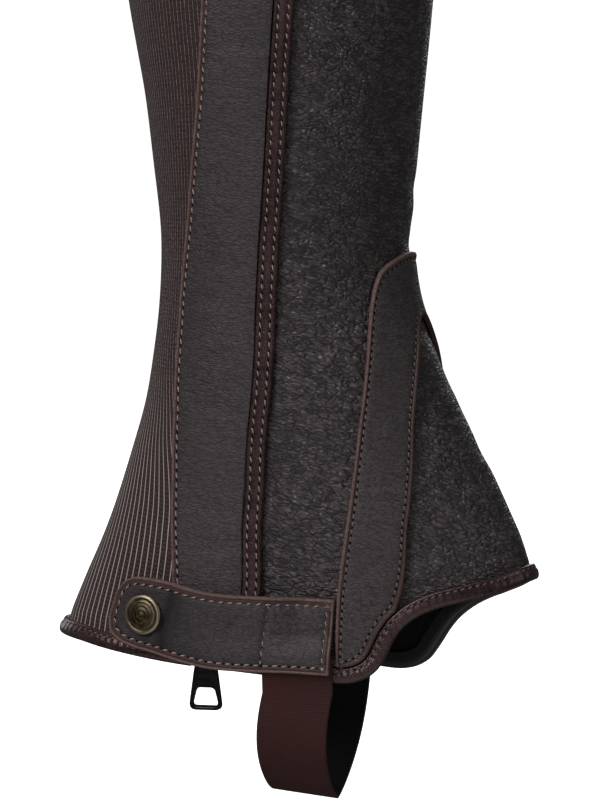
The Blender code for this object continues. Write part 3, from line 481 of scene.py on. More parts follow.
def grid_border(rows, columns):
    border = list(range(columns))
    border += [r * columns + columns - 1 for r in range(1, rows)]
    border += [(rows - 1) * columns + c for c in range(columns - 2, -1, -1)]
    border += [r * columns for r in range(rows - 2, 0, -1)]
    return list(zip(border, border[1:] + border[:1]))


def wall(outer, inner, faces, border):
    """A closed wall from the points of its two faces, which share faces and border."""
    below = len(outer)
    points = np.concatenate([outer, inner])
    backs = [[below + i for i in reversed(face)] for face in faces]
    rims = [[b, a, below + a, below + b] for a, b in border]
    looks = [0] * len(faces) + [1] * len(backs) + [0] * len(rims)
    return points, list(faces) + backs + rims, looks


def grid_wall(outer, inner, rows, columns):
    return wall(outer, inner, grid_faces(rows, columns), grid_border(rows, columns))


def end_faces(rows, columns):
    """The two faces that close the ends of a grid that wraps."""
    return [list(range(columns)), [(rows - 1) * columns + k for k in range(columns)]]


def inside(points, outline):
    """Which flat points lie inside a closed outline."""
    x, y = points[:, 0], points[:, 1]
    hits = np.zeros(len(points), dtype=bool)
    for (ax, ay), (bx, by) in zip(outline, np.roll(outline, -1, axis=0)):
        if ay != by:
            crossing = ((ay > y) != (by > y)) & (x < ax + (y - ay) / (by - ay) * (bx - ax))
            hits ^= crossing
    return hits


def distance_to(points, outline):
    """Distance from flat points to the nearest stretch of a closed outline."""
    nearest = np.full(len(points), np.inf)
    for a, b in zip(outline, np.roll(outline, -1, axis=0)):
        run = b - a
        along = np.clip(((points - a) @ run) / max(run @ run, 1e-12), 0, 1)
        gap = np.linalg.norm(points - a - along[:, None] * run, axis=1)
        nearest = np.minimum(nearest, gap)
    return nearest


def filled(flat, edges):
    """Points and triangles that fill the outlines which edges make between flat points."""
    found, _, triangles, _, _, _ = delaunay_2d_cdt([Vector(p) for p in flat], edges, [], 1, 1e-5)
    return np.array([tuple(p) for p in found]), [list(t) for t in triangles]


def panel_mesh(outline, step):
    """Places and triangles that fill an outline on the leg, and its border."""
    outline = np.asarray(outline, dtype=float)
    lows = np.floor(outline.min(axis=0) / step) * step
    highs = np.ceil(outline.max(axis=0) / step) * step
    x, y = np.meshgrid(np.arange(lows[0], highs[0] + step, step),
                       np.arange(lows[1], highs[1] + step, step))
    x[1::2] += step / 2
    lattice = np.stack([x.ravel(), y.ravel()], axis=1)
    lattice = lattice[inside(lattice, outline)]
    lattice = lattice[distance_to(lattice, outline) > step * 0.45]
    flat = np.concatenate([outline, lattice])
    count = len(outline)
    edges = [(i, (i + 1) % count) for i in range(count)]
    found, triangles = filled(flat, edges)
    used = {}
    for triangle in triangles:
        for a, b in zip(triangle, triangle[1:] + triangle[:1]):
            used.setdefault(frozenset((a, b)), []).append((a, b))
    border = [pairs[0] for pairs in used.values() if len(pairs) == 1]
    return found, triangles, border


# Creases: each runs from one place to another with a bow in millimetres, as a soft trough of
# a width and depth in millimetres with a low shoulder above it; a negative depth is a ridge
CREASE = "from_angle from_height to_angle to_height bow width depth"


def crease_relief(angle, height, creases):
    """How far creases move the skin at places on it, in millimetres."""
    relief = np.zeros(np.broadcast(angle, height).shape)
    for crease in creases:
        middle_angle = (crease.from_angle + crease.to_angle) / 2
        middle_height = (crease.from_height + crease.to_height) / 2
        per_degree, _ = leg_slopes(middle_angle, middle_height)
        scale = np.linalg.norm(per_degree)
        x = ((angle - middle_angle + 180) % 360 - 180) * scale
        y = height - middle_height
        ax = (crease.to_angle - crease.from_angle) * scale / 2
        ay = (crease.to_height - crease.from_height) / 2
        half = math.hypot(ax, ay)
        along = (x * ax + y * ay) / half / half
        across = (y * ax - x * ay) / half - crease.bow * (1 - along ** 2)
        fade = np.clip(1 - along ** 2, 0, 1) ** 1.5
        trough = -np.exp(-(across / crease.width) ** 2)
        shoulder = 0.45 * np.exp(-((across - crease.width * 1.9) / crease.width) ** 2)
        relief += crease.depth * fade * (trough + shoulder)
    return relief


def waves(angle, height, seed, size, depth):
    """Low uneven waves over the skin, from a few slow sines round the leg and up it."""
    chance = np.random.default_rng(seed)
    relief = np.zeros(np.broadcast(angle, height).shape)
    for _ in range(7):
        per_turn = chance.integers(2, 9)
        rise = chance.uniform(-1.6, 1.6) / size
        relief += np.sin(np.radians(angle) * per_turn + height * rise * 2 * math.pi
                         + chance.uniform(0, 6.28))
    return relief * depth / 7


# Finishes

def arithmetic(operation, swapped=False):
    """A sign between two numbers inside a finish, which adds the finish's own maths."""
    def applied(self, other):
        values = (other, self) if swapped else (self, other)
        return self.finish.maths(operation, *values)
    return applied


class Value:
    """A number inside a finish."""

    def __init__(self, finish, socket):
        self.finish = finish
        self.socket = socket

    def of(self, output):
        """Another output of the same source."""
        return Value(self.finish, self.socket.node.outputs[output])

    __add__ = __radd__ = arithmetic("ADD")
    __mul__ = __rmul__ = arithmetic("MULTIPLY")
    __sub__ = arithmetic("SUBTRACT")
    __rsub__ = arithmetic("SUBTRACT", swapped=True)
    __truediv__ = arithmetic("DIVIDE")
    __mod__ = arithmetic("FLOORED_MODULO")

    def __abs__(self):
        return self.finish.maths("ABSOLUTE", self)


class Finish:
    """One surface finish, built from a shader, its patterns and its relief."""

    def __init__(self, name, roughness=0.5, metallic=0.0, **constants):
        self.material = bpy.data.materials.new(name)
        self.material.use_nodes = True
        self.tree = self.material.node_tree
        self.shader = self.tree.nodes["Principled BSDF"]
        self.shader.inputs["Roughness"].default_value = roughness
        self.shader.inputs["Metallic"].default_value = metallic
        for socket, value in constants.items():
            self.shader.inputs[socket.replace("_", " ")].default_value = value
        self.place = self.node("ShaderNodeTexCoord").of("Object")

    def node(self, kind, settings=None, values=None):
        """The value that a new node gives."""
        values = {socket: value.socket if isinstance(value, Value) else value
                  for socket, value in (values or {}).items()}
        made = new_node(self.tree, kind, settings, values)
        outputs = [output for output in made.outputs if output.enabled]
        return Value(self, outputs[0])

    def maths(self, operation, *values):
        return self.node("ShaderNodeMath", {"operation": operation}, dict(enumerate(values)))

    def stretched(self, *scale, turn):
        """The place on the piece, turned about the depth axis, its pattern longer by a scale."""
        return self.node("ShaderNodeMapping", {"vector_type": "TEXTURE"}, {
            "Vector": self.place, "Rotation": (0, turn, 0), "Scale": scale})

    def height(self):
        """Millimetres above the hem."""
        parts = self.node("ShaderNodeSeparateXYZ", {}, {"Vector": self.place})
        return parts.of("Z") * 1000.0 + HOLD_HEIGHT

    def noise(self, size, detail=2.0, roughness=0.5, place=None):
        """Cloudy noise with patches of about a size in millimetres."""
        return self.node("ShaderNodeTexNoise", {}, {
            "Vector": place or self.place, "Scale": 1000.0 / size, "Detail": detail,
            "Roughness": roughness})

    def cells(self, size, place):
        """Pebbles of about a size in millimetres, as the distance to a pebble's edge."""
        return self.node("ShaderNodeTexVoronoi", {"feature": "DISTANCE_TO_EDGE"}, {
            "Vector": place, "Scale": 1000.0 / size})

    def bent(self, place, by, amount):
        """A place pushed about by noise, so that a pattern on it isn't regular."""
        push = self.node("ShaderNodeVectorMath", {"operation": "SCALE"},
                         {0: by.of("Color"), "Scale": amount * MM})
        return self.node("ShaderNodeVectorMath", {"operation": "ADD"}, {0: place, 1: push})

    def ease(self, value, low, high, to_low=0.0, to_high=1.0):
        """A value eased from one range to another."""
        return self.node("ShaderNodeMapRange", {"interpolation_type": "SMOOTHSTEP"}, {
            "Value": value, "From Min": low, "From Max": high,
            "To Min": to_low, "To Max": to_high})

    def mark(self, name):
        """A value that the piece's mesh carries."""
        return self.node("ShaderNodeAttribute", {"attribute_name": name}).of("Fac")

    def cut(self):
        """Millimetres across and along a piece as it was cut."""
        flat = self.node("ShaderNodeUVMap", {"uv_map": "cut"})
        parts = self.node("ShaderNodeSeparateXYZ", {}, {"Vector": flat})
        return parts.of("X") * 1000.0, parts.of("Y") * 1000.0

    def mixed(self, share, first, second):
        """Two colours, the second by a share."""
        made = self.node("ShaderNodeMix", {"data_type": "RGBA"}, {0: share})
        inputs = made.socket.node.inputs
        for socket, colour in ((inputs[6], first), (inputs[7], second)):
            if isinstance(colour, Value):
                self.tree.links.new(colour.socket, socket)
            else:
                socket.default_value = (*colour, 1.0)
        return Value(self, made.socket.node.outputs[2])

    def relief(self, height, depth, under=None):
        """Relief from a height between 0 and 1, of a depth in millimetres, over another."""
        values = {"Height": height, "Strength": 1.0, "Distance": depth * MM}
        if under is not None:
            values["Normal"] = under
        return self.node("ShaderNodeBump", {}, values)

    def done(self, colour, roughness=None, relief=None):
        """The finished material."""
        for socket, value in (("Base Color", colour), ("Roughness", roughness),
                              ("Normal", relief)):
            if value is not None:
                self.tree.links.new(value.socket, self.shader.inputs[socket])
        return self.material


# Colours, as linear shares of red, green and blue
LEATHER_DARK = (0.0080, 0.0065, 0.0067)
LEATHER_LIGHT = (0.057, 0.0478, 0.0486)
# The colour of painted shade, laid where a piece's mark asks for it
PAINTED_SHADE_COLOUR = (0.0060, 0.0050, 0.0058)
WARM_SHEEN = (1.0, 0.88, 0.91, 1.0)
BROWN_SHEEN = (0.92, 0.66, 0.68, 1.0)
# The light brown of a turned edge's bead, partly its own colour, partly a painted highlight
EDGE_HIGHLIGHT_BROWN = (0.120, 0.074, 0.066)
TRIM_BROWN = (0.040, 0.0195, 0.0158)


def smooth_leather():
    """Matte calf leather, its fine grain mottled with painted shade in the grooves, browner towards
    its trimmed edges.
    """
    finish = Finish("smooth_leather", roughness=0.5, Specular_IOR_Level=0.42,
                    Specular_Tint=WARM_SHEEN)
    drift = finish.noise(9.0, 2)
    bent = finish.bent(finish.stretched(2.4, 2.4, 0.85, turn=0.12), drift, 2.2)
    wrinkles = finish.noise(1.5, 4, 0.66, bent)
    fine = finish.ease(finish.noise(1.2, 3, 0.75), 0.36, 0.64)
    grain = finish.ease(finish.cells(1.15, bent), 0.0, 0.2)
    patches = finish.noise(22.0, 3)
    # Partly the leather's own mottled tone, partly painted shade: the grain's grooves and the
    # wrinkles' hollows darker, their raised parts lighter
    mottle_and_groove_shade = grain * 0.5 + finish.ease(wrinkles, 0.36, 0.62) * 0.35 + fine * 0.15
    colour = finish.mixed(mottle_and_groove_shade, LEATHER_DARK, LEATHER_LIGHT)
    colour = finish.mixed(finish.ease(patches, 0.35, 0.7) * 0.35, colour, (0.025, 0.0208, 0.0212))
    # Painted shade where the piece's mark asks: most in the tab's fold, evenly over the flap; it also
    # dulls the leather
    shade = finish.mark("shade")
    colour = finish.mixed(shade, colour, PAINTED_SHADE_COLOUR)
    trim = finish.mark("trim")
    colour = finish.mixed(finish.ease(trim, 0.12, 0.55), colour, TRIM_BROWN)
    # The turned edge's bead: partly its own worn brown, partly a painted highlight along the rounded
    # edge
    worn = finish.mixed(fine, (0.075, 0.043, 0.037), EDGE_HIGHLIGHT_BROWN)
    colour = finish.mixed(finish.ease(trim, 0.72, 0.95), colour, worn)
    return finish.done(colour, 0.42 + 0.16 * patches + 0.08 * fine + 0.3 * shade,
                       finish.relief(grain, 0.1, finish.relief(wrinkles, 0.5)))


def grained_leather():
    """Milled leather: pebbled grain that runs in slanting rows, with a soft sheen on top, the tops
    painted lighter as highlight and the ditches darker as shade.
    """
    finish = Finish("grained_leather", roughness=0.4, Specular_IOR_Level=0.55,
                    Specular_Tint=WARM_SHEEN)
    drift = finish.noise(16.0, 2)
    bent = finish.bent(finish.stretched(2.7, 2.7, 1.0, turn=0.34), drift, 3.2)
    pebbles = finish.ease(finish.cells(1.35, bent), 0.0, 0.24)
    small = finish.noise(1.0, 3, 0.75)
    lines = finish.noise(3.2, 4, 0.6, finish.bent(finish.stretched(1.9, 1.9, 0.8, turn=0.35),
                                                  drift, 4.0))
    patches = finish.noise(26.0, 3)
    height = pebbles * 0.48 + small * 0.28 + finish.ease(lines, 0.38, 0.60) * 0.6
    # Painted light: the higher the grain, the lighter its colour, a painted highlight on the tops and
    # painted shade in the ditches
    painted_lit_tops = finish.ease(height, 0.42, 1.12)
    colour = finish.mixed(painted_lit_tops, (0.0110, 0.0088, 0.0092), (0.062, 0.0520, 0.0530))
    colour = finish.mixed(finish.ease(patches, 0.3, 0.7) * 0.4, colour, (0.0225, 0.0185, 0.0190))
    return finish.done(colour, 0.49 - 0.19 * painted_lit_tops + 0.1 * patches, finish.relief(height, 1.05))


def plain_grain(finish, grain, dark, light, dull, spread, depth):
    """A finish of one grain: two colours, a roughness that the grain adds to, and relief."""
    return finish.done(finish.mixed(grain, dark, light), dull + spread * grain,
                       finish.relief(grain, depth))


def turned_leather():
    """The inner leaf of a binding: plain dark leather."""
    finish = Finish("turned_leather", roughness=0.42, Specular_IOR_Level=0.45)
    grain = finish.noise(0.9, 3, 0.6)
    return plain_grain(finish, grain, (0.010, 0.0088, 0.0090), (0.026, 0.0225, 0.0230),
                       0.34, 0.2, 0.1)


def bound_leather():
    """Dark brown glossy leather, folded round an edge and waxed."""
    finish = Finish("bound_leather", roughness=0.3, Specular_IOR_Level=0.6,
                    Specular_Tint=BROWN_SHEEN)
    drift = finish.noise(8.0, 3, 0.6)
    grain = finish.noise(0.8, 3, 0.6)
    colour = finish.mixed(finish.ease(drift, 0.3, 0.7), (0.010, 0.0045, 0.0048),
                          (0.028, 0.0140, 0.0140))
    colour = finish.mixed(finish.ease(grain, 0.5, 0.72) * 0.5, colour, (0.060, 0.038, 0.037))
    return finish.done(colour, 0.14 + 0.24 * grain,
                       finish.relief(grain, 0.14, finish.relief(drift, 0.3)))


def flesh_side():
    """The unfinished inner side of the leather: black suede nap."""
    finish = Finish("leather_inside", roughness=0.95, Specular_IOR_Level=0.15)
    nap = finish.noise(0.6, 3, 0.7)
    patches = finish.noise(16.0, 2)
    colour = finish.mixed(nap, (0.004, 0.0034, 0.0034), (0.018, 0.015, 0.0145))
    colour = finish.mixed(finish.ease(patches, 0.4, 0.7) * 0.4, colour, (0.012, 0.010, 0.0095))
    return finish.done(colour, 0.85 + 0.12 * nap, finish.relief(nap, 0.12))


def halfway(dark, light):
    return tuple((a + b) / 2 for a, b in zip(dark, light))


def thread(name, dark, light):
    """Waxed sewing thread, its plies twisted."""
    finish = Finish(name, roughness=0.5)
    plies = finish.noise(0.35, 2, 0.5)
    patches = finish.noise(5.0, 2)
    colour = finish.mixed(finish.ease(plies, 0.3, 0.7), dark, light)
    colour = finish.mixed(finish.ease(patches, 0.35, 0.65) * 0.5, colour, halfway(dark, light))
    return finish.done(colour, 0.45 + 0.2 * plies, finish.relief(plies, 0.06))


def needle_hole():
    """The pit that a stitch sinks into, painted near black as the shade inside it."""
    finish = Finish("needle_hole", roughness=0.9, Specular_IOR_Level=0.1)
    pit_shade = finish.noise(0.6, 2)
    return finish.done(finish.mixed(pit_shade, (0.001, 0.0007, 0.0006), (0.006, 0.004, 0.0035)))


def from_middle(steps):
    """How far a count of steps is from the middle of its step, up to a half."""
    return abs(steps % 1.0 - 0.5)


def ribbed_elastic():
    """Elastic woven in ribs, each with a light cord, which shows most where the ribs are spread; the
    cord's light is partly a painted highlight on the crest, and the ditches carry painted shade.
    """
    finish = Finish("ribbed_elastic", roughness=0.75, Specular_IOR_Level=0.25)
    across, along = finish.cut()
    off = from_middle(across / RIB_WOVEN)
    spread = finish.ease(finish.height(), 70.0, 130.0, 1.0, 0.0)
    speckle = finish.noise(0.75, 3, 0.7)
    # Painted light on the ribs: the cord partly its own colour, partly a painted highlight on the
    # crest; the ditches darkened as painted shade
    cord_and_highlight = finish.ease(off + speckle * 0.06, 0.09, 0.16, 1.0, 0.0)
    ditch_shade = finish.ease(off, 0.15, 0.27, 1.0, 0.0)
    braid = finish.ease(from_middle(along / 1.5 + off * 2.4), 0.1, 0.4)
    weave = finish.ease(braid * 0.4 + speckle * 0.7, 0.32, 0.78)
    ground = finish.mixed(weave, (0.0080, 0.0038, 0.0036), (0.058, 0.033, 0.031))
    ground = finish.mixed(ditch_shade * 0.9, ground, (0.0060, 0.0026, 0.0025))
    broken = finish.ease(speckle, 0.36, 0.62)
    dim = finish.mixed(broken, (0.050, 0.032, 0.031), (0.230, 0.180, 0.178))
    bright = finish.mixed(speckle, (0.200, 0.150, 0.146), (0.520, 0.430, 0.420))
    colour = finish.mixed(cord_and_highlight, ground, finish.mixed(spread, dim, bright))
    return finish.done(colour, finish.ease(cord_and_highlight, 0.2, 0.9, 0.8, 0.45),
                       finish.relief(weave * 0.3 + cord_and_highlight * 0.7, 0.42))


def woven_tape(name, dark, light, rib=0.75, end=0.55):
    """Narrow woven tape: fine level ribs crossed by its warp."""
    finish = Finish(name, roughness=0.8, Specular_IOR_Level=0.25)
    across, along = finish.cut()
    ribs = finish.ease(from_middle(along / rib + (across / end) % 2.0 * 0.18), 0.08, 0.42)
    warp = finish.ease(from_middle(across / end), 0.06, 0.4)
    speckle = finish.noise(0.9, 3, 0.65)
    worn = finish.noise(14.0, 3)
    weave = ribs * 0.5 + warp * 0.22 + speckle * 0.35
    colour = finish.mixed(finish.ease(weave, 0.2, 0.95), dark, light)
    colour = finish.mixed(finish.ease(worn, 0.35, 0.7) * 0.4, colour, halfway(dark, light))
    return finish.done(colour, 0.72 + 0.2 * speckle, finish.relief(weave, 0.22))


def gloss_black():
    """Black lacquered zinc, with faint orange peel and rubbed corners."""
    finish = Finish("gloss_black", roughness=0.22, Specular_IOR_Level=0.25, Coat_Weight=0.2,
                    Coat_Roughness=0.06)
    peel = finish.noise(1.8, 2)
    rubbed = finish.noise(3.0, 4, 0.7)
    colour = finish.mixed(finish.ease(rubbed, 0.55, 0.8), (0.0015, 0.0015, 0.0018),
                          (0.006, 0.006, 0.006))
    return finish.done(colour, 0.16 + 0.18 * rubbed, finish.relief(peel, 0.02))


def aged_brass():
    """Antique brass: bright where it is rubbed, olive and near black in its hollows."""
    finish = Finish("aged_brass", roughness=0.36, metallic=1.0)
    tarnish = finish.noise(2.6, 4, 0.65)
    fine = finish.noise(0.5, 3, 0.6)
    rubbed = finish.mark("rubbed")
    colour = finish.mixed(finish.ease(tarnish, 0.35, 0.7), (0.036, 0.029, 0.016),
                          (0.098, 0.078, 0.046))
    colour = finish.mixed(finish.ease(rubbed + tarnish * 0.3, 0.5, 1.1), colour,
                          (0.27, 0.215, 0.150))
    return finish.done(colour, 0.3 + 0.22 * tarnish, finish.relief(fine, 0.025))


def dark_steel():
    """Blackened steel of the snap's hidden parts."""
    finish = Finish("dark_steel", roughness=0.35, metallic=1.0)
    brushed = finish.noise(1.2, 4, 0.6)
    return plain_grain(finish, brushed, (0.07, 0.066, 0.06), (0.24, 0.23, 0.21),
                       0.28, 0.2, 0.02)


LOOKS = {
    "smooth": smooth_leather(),
    "grained": grained_leather(),
    "bound": bound_leather(),
    "inside": flesh_side(),
    "leaf": turned_leather(),
    "light thread": thread("light_thread", (0.110, 0.076, 0.066), (0.390, 0.305, 0.270)),
    "dark thread": thread("dark_thread", (0.036, 0.024, 0.0205), (0.210, 0.160, 0.145)),
    "hole": needle_hole(),
    "elastic": ribbed_elastic(),
    "webbing": woven_tape("webbing", (0.0110, 0.0034, 0.0030), (0.066, 0.0195, 0.0170)),
    # The strap's inner face: the same webbing, painted near black as shade
    "webbing_painted_shade": woven_tape("webbing_painted_shade", (0.0012, 0.0012, 0.0014), (0.008, 0.008, 0.009)),
    "tape": woven_tape("zip_tape", (0.003, 0.003, 0.003), (0.02, 0.02, 0.021), 0.6, 0.5),
    "gloss": gloss_black(),
    "brass": aged_brass(),
    "steel": dark_steel(),
}


# Sewing lines are gathered here by the pieces that carry them, and sewn at the end
SeamLine = namedtuple("SeamLine", "points outs tone")
seam_lines = []


def sew(path, out, tone):
    """Remember a line of stitches along places on the leg, at a height over the skin."""
    points = skin(*path.T, out)
    seam_lines.append(SeamLine(points, leg_normal(*path.T), tone))


# Leather panels of the calf and the instep

CALF_CREASES = rows_of(
    CREASE,
    (95, 80.5, 72, 79.5, 1.0, 2.2, 0.42), (92, 73.0, 78, 73.5, -0.8, 1.5, 0.36),
    (93, 66.8, 70, 63.0, 1.8, 2.4, 0.50), (88, 60.6, 70, 61.8, -1.2, 1.8, 0.42),
    (93, 55.0, 73, 53.0, 1.2, 2.0, 0.36), (94, 46.5, 76, 44.0, -1.4, 2.6, 0.34),
    (90, 92.0, 70, 96.0, 1.6, 3.0, 0.38), (88, 108.0, 64, 112.0, -1.8, 3.2, 0.36),
    (80, 122.0, 55, 128.0, 2.4, 3.0, 0.40), (84, 136.0, 50, 144.0, 2.0, 4.2, 0.42),
    (76, 152.0, 38, 160.0, -2.4, 4.0, 0.45), (66, 167.0, 30, 172.0, 2.6, 4.6, 0.48),
    (48, 182.0, 16, 172.0, 2.0, 3.6, 0.45), (72, 228.0, 54, 214.0, 1.4, 3.4, 0.34),
    (66, 238.0, 44, 212.0, -1.6, 3.8, 0.34), (62, 200.0, 34, 190.0, 1.8, 4.0, 0.34),
    (60, 262.0, 20, 250.0, 2.4, 5.5, 0.36), (58, 300.0, 10, 292.0, -2.6, 6.0, 0.36),
    (40, 345.0, -12, 352.0, 3.0, 7.0, 0.40), (18, 162.0, -26, 160.0, 2.0, 3.4, 0.55),
    (10, 176.0, -40, 180.0, -2.0, 4.2, 0.50), (-20, 168.0, -66, 158.0, 2.4, 4.0, 0.46),
    (-34, 152.0, -78, 142.0, -2.2, 3.6, 0.46), (-58, 134.0, -96, 126.0, 2.0, 3.4, 0.42),
    (-72, 118.0, -112, 112.0, -1.8, 3.2, 0.40), (-78, 100.0, -120, 96.0, 1.6, 3.0, 0.42),
    (-84, 84.0, -128, 80.0, -1.6, 2.6, 0.38), (-80, 68.0, -116, 66.0, 1.4, 2.4, 0.40),
    (-86, 52.0, -130, 54.0, -1.2, 2.6, 0.36), (-90, 36.0, -134, 38.0, 1.0, 2.8, 0.30),
    (-60, 196.0, -104, 186.0, 2.2, 4.4, 0.38), (-84, 214.0, -130, 222.0, -2.4, 5.0, 0.36),
    (-40, 246.0, -86, 238.0, 2.6, 5.6, 0.36), (-70, 286.0, -124, 294.0, -2.8, 6.2, 0.38),
    (-50, 330.0, -108, 322.0, 3.0, 6.8, 0.38),
)

INSTEP_CREASES = rows_of(
    CREASE,
    (62, 86.0, 30, 96.0, 2.0, 3.6, 0.34), (56, 66.0, 22, 74.0, -2.4, 4.6, 0.40),
    (62, 52.0, 30, 50.0, 1.8, 4.0, 0.32), (30, 60.0, -10, 66.0, 2.2, 5.2, 0.38),
    (26, 104.0, -14, 110.0, -1.8, 3.4, 0.40), (14, 88.0, -28, 84.0, 2.0, 4.4, 0.38),
    (-18, 70.0, -58, 64.0, -2.2, 4.6, 0.40), (-26, 94.0, -60, 84.0, 1.8, 3.8, 0.36),
    (-24, 52.0, -62, 48.0, 2.0, 4.4, 0.34),
)


def panel(name, outline, creases, seed, step):
    """A leather panel with its creases and its low waves."""
    places, faces, border = panel_mesh(outline, step)
    angle, height = places[:, 0], places[:, 1]
    relief = crease_relief(angle, height, creases) + waves(angle, height, seed, 90.0, 0.25)
    settle = ramp(distance_to(places, outline), 1.0, 7.0)
    relief = np.clip(relief * settle, -0.8, 0.3)
    outer = skin(angle, height, relief)
    inner = skin(angle, height, -LEATHER + relief * 0.7)
    points, faces, looks = wall(outer, inner, faces, border)
    made = piece(name, points, faces, [LOOKS["grained"], LOOKS["inside"]], face_looks=looks)
    return made


def calf_outline(spacing):
    zip_foot = float(zip_edge(-1, ZIP_SLOT, ZIP_FOOT_HEIGHT))
    hem = shifted(hem_stretch(zip_foot, INNER_SEAM_ANGLE, spacing), PANEL_INSET)
    seam = shifted(band_seam(spacing), SEAM_GAP / 2)
    outer_hem = hem[hem[:, 0] > seam[0][0] + 0.6]
    inner_hem = hem[hem[:, 0] < seam[-1][0] - 0.6][:-1]
    seam_foot = float(hem_height(ELASTIC_SEAM_ANGLE)) + PANEL_INSET
    seam_head = float(top_height(ELASTIC_SEAM_ANGLE)) - PANEL_INSET
    heights = np.arange(seam_foot, seam_head, spacing)
    inner_seam = places_at(moved(INNER_SEAM_ANGLE, heights, SEAM_GAP / 2), heights)
    zip_top = float(zip_edge(-1, ZIP_SLOT, top_height(ZIP_TOP_ANGLE)))
    rim = top_stretch(INNER_SEAM_ANGLE + 0.3, zip_top, 2.5)
    rim[:, 1] -= PANEL_INSET
    heights = np.arange(rim[-1][1] - spacing, outer_hem[0][1] + spacing / 2, -spacing)
    zip_side = places_at(zip_edge(-1, ZIP_SLOT, heights), heights)
    return np.concatenate([outer_hem, seam, inner_hem, inner_seam, rim, zip_side])


def instep_outline(spacing):
    seam = shifted(band_seam(spacing), -SEAM_GAP / 2)
    hem = shifted(hem_stretch(100.0, -100.0, spacing), PANEL_INSET)
    front_hem = hem[np.abs(hem[:, 0]) < seam[0][0] - 0.4]
    return np.concatenate([seam[::-1], front_hem])


calf = panel("calf_shell", calf_outline(2.2), CALF_CREASES, 11, 2.3)
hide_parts("calf_panel")
instep = panel("instep_shell", instep_outline(2.0), INSTEP_CREASES, 23, 2.0)
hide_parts("instep_panel")


# Sewn strips: the instep band, the zip flap and its bound edge

RUNG_POINTS = 9


def strip_grid(lefts, rights, left_insets, middle, right_insets):
    """Places between two edges, with columns at set distances in from each; also how far
    each is from the left and the right edge, in millimetres."""
    shares = np.linspace(0, 1, RUNG_POINTS)
    rungs = lefts[:, None, :] + (rights - lefts)[:, None, :] * shares[None, :, None]
    points = leg_face(rungs[..., 0], rungs[..., 1])
    width = np.linalg.norm(np.diff(points, axis=1), axis=2).sum(axis=1)[:, None]
    left_share = np.array(left_insets)[None, :] / width
    right_share = 1 - np.array(right_insets)[::-1][None, :] / width
    spread = np.linspace(0, 1, middle + 2)[1:-1][None, :]
    first = left_share[:, -1:] if len(left_insets) else np.zeros_like(width)
    last = right_share[:, :1] if len(right_insets) else np.ones_like(width)
    between = first + (last - first) * spread
    share = np.concatenate([left_share, between, right_share], axis=1)
    places = lefts[:, None, :] + (rights - lefts)[:, None, :] * share[:, :, None]
    return places, share * width, (1 - share) * width


def inset_path(lefts, rights, inset):
    """A path at a distance in from the left edge, or from the right one if negative."""
    from_left, from_right = ([inset], []) if inset > 0 else ([], [-inset])
    places, _, _ = strip_grid(lefts, rights, from_left, 0, from_right)
    return places[:, 0]


def rounded_off(distance, radius):
    """How far an edge of a radius falls away at a distance from it."""
    t = np.clip(1 - distance / radius, 0, 1)
    return radius * (1 - np.sqrt(1 - t * t))


def bead(distance, width, rise):
    """A turned edge's low round ridge, with a fine valley behind it."""
    t = np.clip(np.abs(distance - width / 2) / (width / 2), 0, 1)
    valley = np.exp(-((distance - width - 0.15) / 0.22) ** 2)
    return rise * np.sqrt(1 - t * t) - 0.3 * valley


def pulled_down(distance, at, depth=STITCH_DEPTH, width=STITCH_TROUGH):
    """A soft trough, such as a row of stitches pulls into the leather."""
    return depth * np.exp(-((distance - at) / width) ** 2)


EDGE_INSETS = [0, 0.12, 0.3, 0.55, 0.85, 1.1, 1.3, 1.45, 1.65, 1.95, 2.3, 2.65, 3.0, 3.4, 4.0]


def strip(name, places, level, inner_level, looks, cut, **marks):
    """A sewn strip on the leg, from its places and the levels of its two faces over the skin."""
    rows, columns = places.shape[:2]
    flat = places.reshape(-1, 2)
    outer = skin(*flat.T, level.ravel())
    inner = skin(*flat.T, inner_level.ravel())
    points, faces, sides = grid_wall(outer, inner, rows, columns)
    marks = {mark: np.tile(values.ravel(), 2) for mark, values in marks.items()}
    cut = np.tile(cut.reshape(-1, 2), (2, 1))
    return piece(name, points, faces, looks, face_looks=sides, cut=cut, marks=marks, sharp=50.0)


def laid_cut(places, across):
    """Where each place lies on the flat strip: millimetres across and along it."""
    middle = places[:, places.shape[1] // 2]
    along = run_along(leg_face(*middle.T))
    return np.stack(np.broadcast_arrays(across, along[:, None]), axis=2)


# The band: a turned edge on both sides, stitches inside it, and a face pressed in a little
BAND_BEAD = 1.7
BAND_STITCH = 2.75
BAND_SETTLED = 0.25


